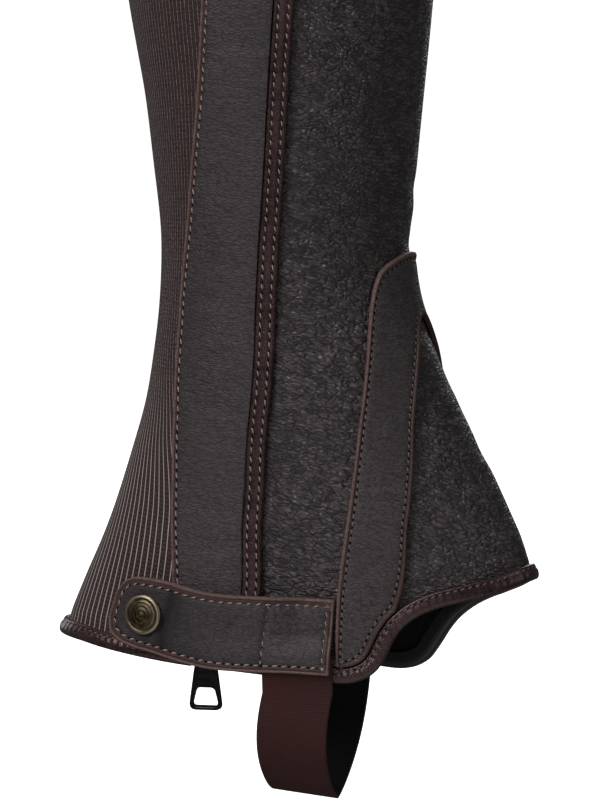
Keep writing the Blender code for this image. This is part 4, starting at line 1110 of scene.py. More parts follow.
def instep_band():
    back = curve_through(BAND_BACK, 2.0)
    back = np.concatenate([back[:-1], mirrored(back)])
    foot = shifted(hem_stretch(76.6, -76.6, 1.5), BINDING_WIDTH + SEAM_GAP)
    foot = foot[np.abs(foot[:, 0]) > BAND_FRONT[0].angle]
    outer_foot = foot[foot[:, 0] > 0]
    inner_foot = foot[foot[:, 0] < 0]
    front = curve_through(BAND_FRONT, 2.0)[1:]
    front = np.concatenate([outer_foot, front[:-1], mirrored(front), inner_foot])
    lefts = resampled(back, 300)
    rights = resampled(front, 300)
    places, left, right = strip_grid(lefts, rights, EDGE_INSETS, 9, EDGE_INSETS)
    nearest = np.minimum(left, right)
    ripple = waves(places[..., 0], places[..., 1], 5, 40.0, 0.25)
    face = BAND_LIFT + FLAP_THICK - BAND_SETTLED
    level = (face - rounded_off(nearest, 0.5) + bead(nearest, BAND_BEAD, 0.3)
             - pulled_down(nearest, BAND_STITCH)
             + ripple * ramp(nearest, 3.5, 3))
    trim = np.interp(left, [0, BAND_BEAD - 0.15, BAND_BEAD + 0.15, 2.5], [1, 1, 0.5, 0])
    trim = np.maximum(trim, np.interp(right, [0, BAND_BEAD, 2.4], [0.6, 0.45, 0]))
    made = strip("instep_band_shell", places, level, np.full_like(level, BAND_LIFT),
                 [LOOKS["smooth"], LOOKS["inside"]], laid_cut(places, left), trim=trim)
    for inset in (BAND_STITCH, -BAND_STITCH):
        sew(inset_path(lefts, rights, inset)[3:-3], face - STITCH_DEPTH, "dark")
    return made


band = instep_band()
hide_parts("instep_band")


def flap_heights(spacing):
    top = float(top_height(66)) - BINDING_WIDTH - 2 * SEAM_GAP
    return np.linspace(FLAP_FOOT, top, round((top - FLAP_FOOT) / spacing) + 1)


# The flap: its row of stitches, its painted shade and how far its face is pressed in
FLAP_STITCH = 2.3
FLAP_PAINTED_SHADE = 0.2
FLAP_SETTLED = 0.15
FLAP_CREASES = rows_of(
    CREASE,
    (110, 203.0, 92, 201.0, 1.0, 1.6, 0.22), (107, 181.0, 90, 175.0, -1.6, 1.8, 0.24),
    (122, 156.0, 92, 154.0, 1.8, 2.2, 0.24), (126, 139.0, 96, 137.0, -1.4, 2.0, 0.26),
    (126, 118.0, 100, 122.0, 1.2, 2.4, 0.24), (127, 103.0, 100, 101.0, 1.6, 2.0, 0.26),
    (122, 84.0, 98, 88.0, -1.4, 2.4, 0.24), (122, 66.0, 100, 62.0, 1.4, 2.6, 0.28),
    (120, 48.0, 99, 50.0, -1.0, 3.0, 0.30), (104, 236.0, 80, 232.0, 1.4, 2.6, 0.22),
    (100, 274.0, 76, 280.0, -1.6, 3.0, 0.24), (98, 318.0, 72, 312.0, 1.8, 3.6, 0.26),
    (98, 362.0, 72, 368.0, -1.6, 3.6, 0.26),
)


def zip_flap():
    heights = flap_heights(1.8)
    lefts = places_at(closing("sewn", heights), heights)
    free = moved(closing("free", heights), heights, FLAP_BINDING_WIDTH + SEAM_GAP)
    rights = places_at(free, heights)
    places, left, right = strip_grid(lefts, rights, EDGE_INSETS, 14, [0, 0.3, 0.8])
    relief = crease_relief(places[..., 0], places[..., 1], FLAP_CREASES)
    relief = relief + waves(places[..., 0], places[..., 1], 31, 60.0, 0.3)
    face = LAY_GAP + FLAP_THICK - FLAP_SETTLED
    level = (face - rounded_off(left, 0.5) + bead(left, 1.2, 0.15)
             - pulled_down(left, FLAP_STITCH, 0.38) - rounded_off(right, 0.6)
             + relief * ramp(left, 3, 4))
    trim = np.interp(left, [0, 1.1, 1.35, 1.9, 2.5], [1, 0.95, 0.6, 0.5, 0])
    made = strip("zip_flap_shell", places, level, np.full_like(level, LAY_GAP),
                 [LOOKS["smooth"], LOOKS["inside"]], laid_cut(places, left), trim=trim,
                 shade=np.full_like(trim, FLAP_PAINTED_SHADE))
    sew(inset_path(lefts, rights, FLAP_STITCH), face - THREAD_SUNK, "light")
    return made


flap = zip_flap()
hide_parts("zip_flap")

BOUND_STITCHES = (1.75, 5.2)


def bound_edge():
    """The strip folded round the flap's free edge, pinched by two rows of stitches."""
    heights = flap_heights(0.8)
    free = closing("free", heights)
    inner = moved(free, heights, FLAP_BINDING_WIDTH)
    lefts = places_at(inner, heights)
    rights = places_at(free, heights)
    insets = [0, 0.1, 0.3, 0.6, 0.95, 1.3, 1.55, 1.75, 1.95, 2.2, 2.6]
    places, left, right = strip_grid(lefts, rights, insets, 3, insets)
    along = laid_cut(places, left)[..., 1]
    pucker = 0.5 + 0.5 * np.cos(along * 2 * math.pi / STITCH_PITCH)
    face = FLAP_BINDING_RISE - 0.05
    level = np.full(left.shape, face)
    level -= rounded_off(left, 0.9) * 0.8 + rounded_off(right, 1.3)
    for stitch in BOUND_STITCHES:
        level -= pulled_down(left, stitch, 0.34, 0.62) * (0.75 + 0.35 * pucker)
    level += waves(places[..., 0], places[..., 1] * 3, 41, 30.0, 0.12)
    made = strip("flap_binding_shell", places, level, np.full_like(level, LAY_GAP),
                 [LOOKS["bound"], LOOKS["bound"]], laid_cut(places, left))
    for stitch in BOUND_STITCHES:
        sew(inset_path(lefts, rights, stitch), face - THREAD_SUNK, "light")
    return made


edge_strip = bound_edge()
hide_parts("flap_binding")


# Ribbed elastic at the back of the leg: rows up it, columns over what shows of it and over
# what the flap hides, and the level stretch at each end. Its ribs follow its middle line
ELASTIC_ROWS = 140
SHOWN_COLUMNS = 151
HIDDEN_COLUMNS = 20
LEVEL_END = 5.4


def elastic_back():
    full = float(top_height(ELASTIC_SEAM_ANGLE) - hem_height(ELASTIC_SEAM_ANGLE)) - 2 * PANEL_INSET
    fractions = np.linspace(0, 1, ELASTIC_ROWS)

    def height_at(angle, shares=fractions):
        low = hem_height(angle) + PANEL_INSET
        high = top_height(angle) - PANEL_INSET
        return low + shares * (high - low)

    seam = moved(ELASTIC_SEAM_ANGLE, height_at(ELASTIC_SEAM_ANGLE), -SEAM_GAP / 2)[:, None]
    zip_side = zip_edge(1, ZIP_SLOT, height_at(108.0))[:, None]
    flap_height = height_at(120.0)
    flap_side = moved(closing("sewn", flap_height), flap_height, FLAP_EDGE_MARGIN)[:, None]
    shown = np.linspace(0, 1, SHOWN_COLUMNS)
    hidden = np.linspace(0, 1, HIDDEN_COLUMNS)[1:]
    angles = np.concatenate([seam + (flap_side - seam) * shown,
                             flap_side + (zip_side - flap_side) * hidden], axis=1)
    heights = height_at(angles, fractions[:, None])
    rows, count = angles.shape
    away = np.minimum(fractions, 1 - fractions)[:, None] * full
    standing = ramp(away, LEVEL_END, 3.0) * np.ones_like(angles)
    level = (0.25 + waves(angles, heights, 17, 60.0, 0.3)) * standing
    outer = skin(angles.ravel(), heights.ravel(), level.ravel())
    inner = skin(angles.ravel(), heights.ravel(), -ELASTIC)
    points, faces, looks = grid_wall(outer, inner, rows, count)
    steps = np.linalg.norm(np.diff(outer.reshape(rows, count, 3), axis=1), axis=2)
    run = np.concatenate([np.zeros((rows, 1)), np.cumsum(steps, axis=1)], axis=1)
    pitch = smooth_value(RIB_PITCH, "pitch", heights.ravel()).reshape(rows, count)
    ribs = (run - run[:, [len(shown) - 1]] / 2) / pitch + 60
    along = np.broadcast_to((fractions * full)[:, None], angles.shape)
    cut = np.stack([(ribs * RIB_WOVEN).ravel(), along.ravel()], axis=1)
    return piece("elastic_shell", points, faces, [LOOKS["elastic"], LOOKS["elastic"]],
                 face_looks=looks, cut=np.tile(cut, (2, 1)), sharp=60.0)


elastic = elastic_back()
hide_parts("elastic_panel")


# Folded bindings on the hem and the top edge
UNDER_SKIN = -LEATHER - LAY_GAP
BINDING_STITCH = 4.7
BINDING_LEAF = 8
BINDING_SECTION = rows_of(
    "inward out",
    (BINDING_WIDTH, LAY_GAP), (BINDING_WRAP, LAY_GAP), (BINDING_WRAP, UNDER_SKIN),
    (BINDING_WIDTH, UNDER_SKIN), (BINDING_WIDTH, UNDER_SKIN - BINDING_INNER),
    (3.0, UNDER_SKIN - BINDING_INNER), (0.9, UNDER_SKIN - BINDING_INNER), (0.3, UNDER_SKIN - 0.6),
    (0.0, UNDER_SKIN + 0.2), (-0.05, -1.0), (0.0, 0.6), (0.15, 1.3), (0.5, 1.85), (1.1, 2.2),
    (2.0, 2.35), (3.0, 2.3), (3.7, 2.1), (4.2, 1.85), (4.7, 1.72), (5.1, 1.8), (5.5, 1.75),
    (5.85, 1.4), (BINDING_WIDTH, 1.0),
)


def binding(name, path, node):
    """A strip folded round an edge, puckered between the stitches that hold it."""
    spaced = resampled(path, spacing=0.82)
    run = np.arange(len(spaced)) * path_length(spaced) / (len(spaced) - 1)
    chance = np.random.default_rng(7)
    stitches = np.arange(0, run[-1] + FINE_PITCH, FINE_PITCH)
    uneven = np.interp(run, stitches, chance.uniform(0.4, 1.3, len(stitches)))
    pucker = np.cos(run * 2 * math.pi / FINE_PITCH) * uneven
    rings = []
    for point in BINDING_SECTION:
        row = shifted(spaced, point.inward)
        near = math.exp(-((point.inward - 3.4) / 1.5) ** 2) if point.out > 0.5 else 0.0
        rings.append(skin(*row.T, point.out - 0.2 * near * pucker))
    points = np.stack(rings, axis=1)
    rows, count = points.shape[:2]
    faces = grid_faces(rows, count, wrap=True) + end_faces(rows, count)
    sew(shifted(spaced, BINDING_STITCH)[2:-2], 1.62, "dark")
    looks = [int(k < BINDING_LEAF) for _ in range(rows - 1) for k in range(count)] + [0, 0]
    made = piece(name, points.reshape(-1, 3), faces, [LOOKS["bound"], LOOKS["leaf"]],
                 face_looks=looks, sharp=50.0)
    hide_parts(node)


hem_first = float(zip_edge(-1, ZIP_END_GAP, ZIP_FOOT_HEIGHT))
hem_last = float(zip_edge(1, ZIP_END_GAP, ZIP_FOOT_HEIGHT)) - 360.0
binding("hem_binding_shell", hem_stretch(hem_first, hem_last, 2.0), "hem_binding")
top_first = float(zip_edge(1, ZIP_SLOT, top_height(ZIP_TOP_ANGLE))) - 360.0
top_last = float(zip_edge(-1, ZIP_SLOT, top_height(ZIP_TOP_ANGLE)))
top_path = top_stretch(top_first, top_last, 2.0)
binding("top_binding_shell", top_path, "top_binding")


# Snap tab: a turned edge all round, stitched, boxed down in front and snapped behind, with
# its creases
TAB_BEAD = 1.05
TAB_STITCH = 2.6
TAB_BOX_ANGLE = 92.9
TAB_REACH = (74, 140)
TAB_MIDDLE_HEIGHT = 20.0
TAB_PILE = 2.45
TAB_SETTLED = 0.3
TAB_STITCH_DEPTH = 0.34
TAB_BOX_DEPTH = 0.62
TAB_BOX_HEIGHTS = (7.4, 29.4)
TAB_SETTLE_RUN = 10.0
TAB_SETTLE_HIGH = 84.0
TAB_SETTLE_LOW = 95.5
TAB_INSETS = (0, 0.12, 0.3, 0.55, 0.8, 1.0, 1.15, 1.35, 1.65, 2.0, 2.3, 2.6, 2.9, 3.3, 3.8)
TAB_CREASES = rows_of(
    CREASE,
    (117.8, 31.8, 118.9, 7.4, 0.5, 0.85, 0.75), (119.8, 29.6, 121.6, 31.9, 0.3, 0.60, -0.45),
    (119.6, 17.0, 122.0, 13.4, 0.3, 0.60, -0.45), (129.6, 33.4, 132.6, 29.0, 0.4, 0.60, -0.45),
    (126.8, 15.6, 131.6, 19.4, -0.4, 0.60, -0.45), (115.2, 30.8, 114.2, 14.4, -0.3, 0.75, 0.34),
    (121.0, 30.2, 120.6, 20.4, 0.4, 0.65, -0.34), (111.4, 28.6, 108.2, 10.2, 0.3, 0.70, -0.30),
    (91.2, 30.6, 87.6, 24.6, 0.2, 0.75, -0.55), (88.9, 30.8, 85.0, 23.6, 0.3, 0.70, -0.60),
    (86.6, 30.4, 82.6, 21.8, -0.2, 0.75, -0.60), (84.4, 30.2, 80.4, 19.6, 0.3, 0.70, -0.50),
    (92.2, 27.6, 89.4, 21.4, 0.2, 0.75, -0.50), (82.2, 29.6, 79.6, 23.4, 0.2, 0.70, -0.40),
    (91.6, 23.0, 88.0, 18.6, -0.2, 0.80, -0.35), (92.0, 15.2, 79.5, 13.4, 0.5, 0.55, 0.24),
    (91.0, 12.6, 80.0, 11.0, -0.4, 0.50, 0.22), (91.6, 10.2, 80.6, 9.2, 0.3, 0.45, 0.20),
    (92.0, 18.2, 80.0, 16.4, -0.4, 0.60, 0.20), (94.0, 28.4, 97.9, 21.6, 0.5, 0.60, 0.34),
    (94.2, 24.2, 98.6, 16.8, 0.6, 0.65, 0.36), (94.0, 20.2, 98.2, 12.2, 0.5, 0.60, 0.34),
    (94.0, 16.0, 97.2, 9.4, 0.4, 0.55, 0.30), (95.6, 29.4, 101.4, 22.0, 0.7, 0.80, 0.24),
    (97.6, 26.0, 104.0, 15.4, 0.9, 0.95, 0.22), (114.9, 34.6, 114.4, 9.6, 0.4, 0.50, 0.55),
    (116.4, 33.0, 115.8, 12.6, -0.3, 0.45, 0.40), (111.4, 32.0, 110.4, 10.0, 0.9, 0.80, 0.28),
    (107.8, 30.4, 106.4, 9.0, -1.0, 0.95, 0.24), (103.4, 30.6, 103.0, 8.6, 1.2, 1.00, 0.22),
    (119.2, 31.0, 118.6, 13.6, 0.8, 0.60, 0.26), (132.2, 33.4, 130.6, 16.4, 1.4, 0.70, 0.26),
)


# Painted shade on the tab: darkest in the fold beside the snap
TAB_PAINTED_SHADE = rows_of(
    "angle shade",
    (91, 0.0), (93, 0.4), (96, 0.25), (104, 0.3), (112, 0.45), (116, 0.75), (117.4, 1.0),
    (118.4, 1.0), (120, 0.55), (130, 0.5),
)


def tab_base(angle, height):
    """Level of the tab's underside: over the stirrup's end low down, on the calf above it,
    and both settling to one level behind the box."""
    up = ramp(height, 11.6, 6.6)
    levels = []
    for start, sewn in ((TAB_SETTLE_LOW, STRAP_LEVEL + STRAP_THICK + LAY_GAP),
                        (TAB_SETTLE_HIGH, LAY_GAP)):
        settled = ramp(angle, start, TAB_SETTLE_RUN)
        levels.append(sewn + (TAB_LIFT - sewn) * settled * settled * (3 - 2 * settled))
    return levels[0] + (levels[1] - levels[0]) * up


def tab_plane():
    """Millimetres round the leg at the tab's middle height for each angle, both ways."""
    angles = np.linspace(*TAB_REACH, 331)
    return angles, run_along(leg_face(angles, np.full(len(angles), TAB_MIDDLE_HEIGHT)))


def offset_loop(loop, inset):
    """A closed flat loop moved inwards, with its corners kept sharp."""
    before = unit(loop - np.roll(loop, 1, axis=0))
    after = unit(np.roll(loop, -1, axis=0) - loop)
    turn = 1 + (before * after).sum(axis=1, keepdims=True)
    normal = np.stack([-(before + after)[:, 1], (before + after)[:, 0]], axis=1)
    return loop + normal * inset / np.maximum(turn, 0.3)


def upright(x, start, stop, count):
    """Flat points between two heights, without the heights themselves."""
    return np.stack([np.full(count, x), np.linspace(start, stop, count + 2)[1:-1]], axis=1)


def snap_tab():
    angles, run = tab_plane()
    stations = np.linspace(TAB[0].angle, TAB[-1].angle, 170)
    low = smooth_value(TAB, "low", stations)
    high = smooth_value(TAB, "high", stations)
    x = np.interp(stations, angles, run)
    foot = np.stack([x, low], axis=1)
    head = np.stack([x, high], axis=1)[::-1]
    end = upright(x[-1], low[-1], high[-1], 11)
    sewn = upright(x[0], high[0], low[0], 39)
    loop = np.concatenate([foot, end, head, sewn])
    rings = [offset_loop(loop, inset) for inset in TAB_INSETS]
    fill, triangles, _ = panel_mesh(rings[-1], 0.9)
    count = len(loop)
    flat = np.concatenate(rings[:-1] + [fill])
    faces = grid_faces(len(rings), count, wrap=True)
    start = (len(rings) - 1) * count
    faces += [[start + i for i in triangle] for triangle in triangles]
    angle = np.interp(flat[:, 0], run, angles)
    height = flat[:, 1]
    away = distance_to(flat, loop)
    base = tab_base(angle, height)
    relief = crease_relief(angle, height, TAB_CREASES) * ramp(away, 2.2, 1.4)
    relief += waves(angle, height, 3, 16.0, 0.3) * ramp(away, 3, 3)
    box_x = np.interp(TAB_BOX_ANGLE, angles, run)
    relief -= pulled_down(flat[:, 0], box_x, 0.75, 0.75) * ramp(away, 0.6, 1.5)
    snap_place = np.array([np.interp(SNAP_ANGLE, angles, run), SNAP_HEIGHT])
    from_snap = np.linalg.norm(flat - snap_place, axis=1)
    relief -= pulled_down(from_snap, SNAP_RADIUS, 0.4, 1.3)
    pillow = 0.25 * ramp(away, 2.6, 4)
    level = (base + TAB_PILE - TAB_SETTLED - rounded_off(away, 0.5) + bead(away, TAB_BEAD, 0.3)
             - pulled_down(away, TAB_STITCH, TAB_STITCH_DEPTH, 0.6)
             + np.clip(relief, -0.9, 0.5) + pillow)
    level = np.minimum(level, base + TAB_PILE + 0.25)
    outer = skin(angle, height, level)
    inner = skin(angle, height, base)
    border = [(i, (i + 1) % count) for i in range(count)]
    points, faces, looks = wall(outer, inner, faces, border)
    trim = np.interp(away, [0, TAB_BEAD - 0.1, TAB_BEAD + 0.1, 2.2, 2.7], [1, 1, 0.6, 0.5, 0])
    # Painted shade over the tab, from the table above
    shade = np.interp(angle, [row.angle for row in TAB_PAINTED_SHADE], [row.shade for row in TAB_PAINTED_SHADE])
    made = piece("snap_tab_shell", points, faces, [LOOKS["smooth"], LOOKS["inside"]],
                 face_looks=looks, cut=np.tile(flat, (2, 1)), sharp=60.0,
                 marks={"trim": np.tile(trim, 2), "shade": np.tile(shade, 2)})
    seam = offset_loop(loop, TAB_STITCH)
    seam = np.concatenate([seam, seam[:1]])
    box_line = np.stack([np.full(40, box_x), np.linspace(*TAB_BOX_HEIGHTS, 40)], axis=1)
    for line, sunk in ((seam, TAB_STITCH_DEPTH), (box_line, TAB_BOX_DEPTH)):
        line_angle = np.interp(line[:, 0], run, angles)
        base = tab_base(line_angle, line[:, 1])
        points = skin(line_angle, line[:, 1], base + (TAB_PILE - TAB_SETTLED - sunk))
        seam_lines.append(SeamLine(points, leg_normal(line_angle, line[:, 1]), "light"))
    return made


tab = snap_tab()
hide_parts("snap_tab")


# Snap cap, turned: a rolled rim, a trough, and plain rings on a low dome
CAP_PROFILE = rows_of(
    "radius rise rubbed",
    (5.2, 0.0, 0), (6.6, 0.0, 0), (7.15, 0.12, 0.1), (7.4, 0.5, 0.5), (7.42, 0.9, 0.8),
    (7.3, 1.3, 1.0), (7.0, 1.62, 1.0), (6.6, 1.78, 0.9), (6.2, 1.76, 0.5), (5.9, 1.6, 0.1),
    (5.65, 1.52, 0.0), (5.4, 1.6, 0.2), (5.15, 1.8, 0.6), (4.9, 1.88, 0.6), (4.65, 1.82, 0.2),
    (4.4, 1.84, 0.1), (3.9, 2.0, 0.2), (3.4, 2.12, 0.3), (3.1, 2.12, 0.1), (2.95, 2.06, 0.0),
    (2.8, 2.12, 0.1), (2.5, 2.24, 0.4), (1.9, 2.34, 0.3), (1.5, 2.36, 0.2), (1.3, 2.3, 0.0),
    (1.1, 2.36, 0.2), (0.6, 2.46, 0.4), (0.2, 2.5, 0.4),
)
CAP_SEAT = 6.15


def skin_frame(angle, height):
    out = leg_normal(angle, height)
    across = unit(np.cross([0, 0, 1.0], out))
    rise = unit(np.cross(out, across))
    return leg_face(angle, height), across, rise, out


def snap_cap():
    middle, across, rise, out = skin_frame(SNAP_ANGLE, SNAP_HEIGHT)
    segments = 72
    turns = np.linspace(0, 2 * math.pi, segments, endpoint=False)[None, :, None]
    radii = np.array([p.radius for p in CAP_PROFILE])[:, None, None]
    rises = np.array([p.rise + CAP_SEAT for p in CAP_PROFILE])[:, None, None]
    points = middle + across * radii * np.cos(turns) + rise * radii * np.sin(turns) + out * rises
    rows = len(CAP_PROFILE)
    faces = grid_faces(rows, segments, wrap=True) + end_faces(rows, segments)
    rubbed = np.repeat([p.rubbed for p in CAP_PROFILE], segments)
    return piece("snap_cap_turned", points.reshape(-1, 3), faces, [LOOKS["brass"]],
                 marks={"rubbed": rubbed}, sharp=70.0)


cap = snap_cap()
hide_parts("snap_cap")


# Zip pull: a rounded plate with an eye, an arc and grip ridges, and an open window
PULL_OUTLINE = rows_of(
    "x y radius",
    (-3.4, 0.7, 1.0), (-4.4, -3.6, 2.5), (-6.5, -18.9, 3.0), (6.5, -18.9, 3.0), (4.4, -3.6, 2.5),
    (3.4, 0.7, 1.0),
)
PULL_EYE = rows_of(
    "x y radius",
    (-1.7, -0.7, 0.35), (-1.7, -2.75, 0.35), (1.7, -2.75, 0.35), (1.7, -0.7, 0.35),
)
PULL_WINDOW = rows_of(
    "x y radius",
    (-3.5, -10.6, 1.6), (-5.15, -17.1, 1.6), (5.15, -17.1, 1.6), (3.5, -10.6, 1.6),
)
PULL_RIDGES = (-2.1, -1.05, 0.0, 1.05, 2.1)


def rounded_loop(corners, steps=7):
    loop = []
    for i, corner in enumerate(corners):
        here = np.array([corner.x, corner.y])
        before = np.array(corners[i - 1][:2]) - here
        after = np.array(corners[(i + 1) % len(corners)][:2]) - here
        before = unit(before) * corner.radius
        after = unit(after) * corner.radius
        for t in np.linspace(0, 1, steps):
            loop.append(here + before * (1 - t) ** 2 + after * t ** 2)
    return np.array(loop)


def pull_frame():
    angle = float(closing("zip", PULL_PIVOT_HEIGHT))
    out = leg_normal(angle, PULL_PIVOT_HEIGHT) * np.array([1, 1, 0])
    out = unit(out)
    up = np.array([0, 0, 1.0])
    middle = leg_face(angle, PULL_PIVOT_HEIGHT) + out * PULL_PIVOT_OUT
    return middle, np.cross(up, out), up, out


def arc(half_width, middle, rise):
    """Points of a shallow arc across the pull."""
    return [(x, middle + rise * (1 - (x / half_width) ** 2))
            for x in np.linspace(-half_width, half_width, 15)]


def ridge(path, width, lift, level):
    """A low round ridge on the pull's face, as rows of points along it."""
    path = np.asarray(path, dtype=float)
    side = np.gradient(path, axis=0)
    side = unit(np.stack([-side[:, 1], side[:, 0]], axis=1))
    rows = []
    taper = np.sqrt(np.clip(1 - np.linspace(-1, 1, len(path)) ** 4, 0.02, 1))
    for turn in np.linspace(0, math.pi, 7):
        flat = path + side * (math.cos(turn) * width / 2 * taper[:, None])
        rows.append(np.column_stack([flat, level + math.sin(turn) * lift * taper]))
    rows.append(np.column_stack([path, np.full(len(path), level - 0.2)]))
    return np.stack(rows, axis=1)


def zip_pull():
    middle, across, up, out = pull_frame()

    def placed(points):
        """Points of the flat pull, set where it hangs."""
        return middle + points[:, :1] * across + points[:, 1:2] * up + points[:, 2:] * out

    outer = rounded_loop(PULL_OUTLINE)
    holes = [rounded_loop(PULL_EYE, 4), rounded_loop(PULL_WINDOW)]
    loops = [outer] + holes
    flat = np.concatenate(loops)
    edges = []
    start = 0
    for loop in loops:
        edges += [(start + i, start + (i + 1) % len(loop)) for i in range(len(loop))]
        start += len(loop)
    found, triangles = filled(flat, edges)
    middles = found[np.array(triangles)].mean(axis=1)
    kept = ~inside(middles, holes[0]) & ~inside(middles, holes[1])
    triangles = np.array(triangles)[kept].tolist()
    half = PULL_THICK / 2
    face = np.column_stack([found, np.full(len(found), half)])
    back = np.column_stack([found, np.full(len(found), -half)])
    points, faces, _ = wall(face, back, triangles, edges)
    plate = piece("zip_pull_plate", placed(points), faces, [LOOKS["gloss"]], body="pull",
                  sharp=30.0)
    rounding = plate.modifiers.new("Rounding", "BEVEL")
    rounding.width = 0.42 * MM
    rounding.segments = 3
    rounding.limit_method = "ANGLE"
    rounding.angle_limit = math.radians(40)
    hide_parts("zip_pull")
    rows = [ridge(np.linspace((x, -6.0), (x, -9.2), 9), 0.5, 0.22, half) for x in PULL_RIDGES]
    rows.append(ridge(arc(3.0, -4.35, 0.55), 0.45, 0.2, half))
    rows.append(ridge(arc(4.2, -17.9, -0.2), 0.5, 0.16, half))
    points, faces, start = [], [], 0
    for grid in rows:
        flat = grid.reshape(-1, 3)
        points.append(placed(flat))
        count = grid.shape[1]
        faces += grid_faces(grid.shape[0], count, start, wrap=True)
        first_ring = range(start, start + count)
        last_ring = range(start + len(flat) - count, start + len(flat))
        faces += [list(first_ring), list(reversed(last_ring))]
        start += len(flat)
    grip = piece("zip_pull_grip", np.concatenate(points), faces, [LOOKS["gloss"]], body="pull",
                 sharp=60.0)


zip_pull()


# Stirrup strap: from under the tab, round under the foot, up inside the inner side

def strap_grid(outer_level, inner_level, drop, shares, bends):
    """Rows of points along one face of the strap."""
    outer_heights = np.linspace(STRAP_OUTER_TOP, STRAP_FREE_HEIGHT, 9)
    inner_heights = np.linspace(STRAP_FREE_HEIGHT, STRAP_INNER_TOP, 10)

    def sewn_row(height, side, out):
        x = STRAP_MIDDLE_X + shares * STRAP_WIDTH
        front = float(smooth_value(LEG, "front", height))
        back = float(smooth_value(LEG, "back", height))
        turn = np.degrees(np.arccos((2 * x - front - back) / (front - back)))
        angle = turn if side > 0 else inner_angle(-turn, np.full(len(x), height))
        return skin(angle, np.full(len(x), height), out)

    rows = [sewn_row(height, 1, outer_level) for height in outer_heights]
    first = rows[-1]
    last = sewn_row(STRAP_FREE_HEIGHT, -1, inner_level)
    middle = len(shares) // 2
    depth = STRAP_FREE_HEIGHT - STRAP_LOWEST - drop - STRAP_TILT * (0.5 - shares)
    for k in range(1, bends):
        turn = math.pi * k / bends
        sag = math.sin(turn) ** 0.8
        side = math.cos(turn)
        near = (1 + math.copysign(abs(side) ** STRAP_FOLD, side)) / 2
        lean = STRAP_LEAN * sag + STRAP_BOW * 4 * sag * (1 - sag) * near
        own = first * near + last * (1 - near)
        level_y = first[middle, 1] * near + last[middle, 1] * (1 - near)
        y = level_y * sag + own[:, 1] * (1 - sag)
        rows.append(np.column_stack([own[:, 0] - lean, y, own[:, 2] - depth * sag]))
    rows += [sewn_row(height, -1, inner_level) for height in inner_heights]
    return np.array(rows)


def stirrup():
    edge = np.array([0, 0.2, 0.5, 0.9, 1.5, 2.3]) / STRAP_WIDTH
    shares = np.concatenate([edge, np.linspace(0.12, 0.88, 13), 1 - edge[::-1]]) - 0.5
    inner_face = UNDER_SKIN - BINDING_INNER - LAY_GAP
    away = (0.5 - np.abs(shares)) * STRAP_WIDTH
    thin = rounded_off(away, 0.75) + pulled_down(away, 1.9, 0.16, 0.3)
    outer = strap_grid(STRAP_LEVEL + STRAP_THICK - thin, inner_face - thin, thin, shares, 72)
    inner = strap_grid(STRAP_LEVEL + thin, inner_face - STRAP_THICK + thin, STRAP_THICK - thin,
                       shares, 72)
    rows, columns = outer.shape[:2]
    along = run_along(outer[:, columns // 2])
    cut = np.stack(np.broadcast_arrays(shares[None, :] * STRAP_WIDTH, along[:, None]), axis=2)
    points, faces, looks = grid_wall(outer.reshape(-1, 3), inner.reshape(-1, 3), rows, columns)
    # The strap's inner face carries the webbing painted near black as shade
    return piece("stirrup_webbing", points, faces, [LOOKS["webbing"], LOOKS["webbing_painted_shade"]],
                 face_looks=looks, cut=np.tile(cut.reshape(-1, 2), (2, 1)), sharp=60.0)


strap = stirrup()
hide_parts("stirrup_strap")


# Zip tapes and teeth under the flap. Beside the slider the tapes are notched
TAPE_FOOT_ANGLE = 119
TAPE_TOP_ANGLE = 60
TAPE_NOTCH = 4.9


def zip_tape(name, side, node):
    foot = float(hem_height(TAPE_FOOT_ANGLE)) + BINDING_WIDTH + 3 * SEAM_GAP
    top = float(top_height(TAPE_TOP_ANGLE)) - BINDING_WIDTH - 3 * SEAM_GAP
    notch = SLIDER_HIGH + 0.5
    heights = np.concatenate([np.linspace(foot, notch, 8), np.linspace(notch + 0.6, top, 150)])
    near = np.where(heights <= notch, TAPE_NOTCH, TAPE_SPLIT)
    shares = np.linspace(0, 1, 9)
    insets = near[:, None] + (TAPE_WIDTH - near)[:, None] * shares[None, :]
    grid_heights = np.broadcast_to(heights[:, None], insets.shape)
    angles = zip_edge(side, insets, grid_heights)
    places = np.stack([angles, grid_heights], axis=2)
    level = UNDER_SKIN - pulled_down(insets, 2.2, 0.12, 0.4)
    made = strip(name, places, level, np.full_like(level, UNDER_SKIN - TAPE_THICK),
                 [LOOKS["tape"], LOOKS["tape"]], laid_cut(places, insets))
    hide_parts(node)
    return made


tape_front = zip_tape("zip_tape_front_woven", -1, "zip_tape_front")
tape_back = zip_tape("zip_tape_back_woven", 1, "zip_tape_back")


# Things that repeat along a line: stitches, needle holes and zip teeth

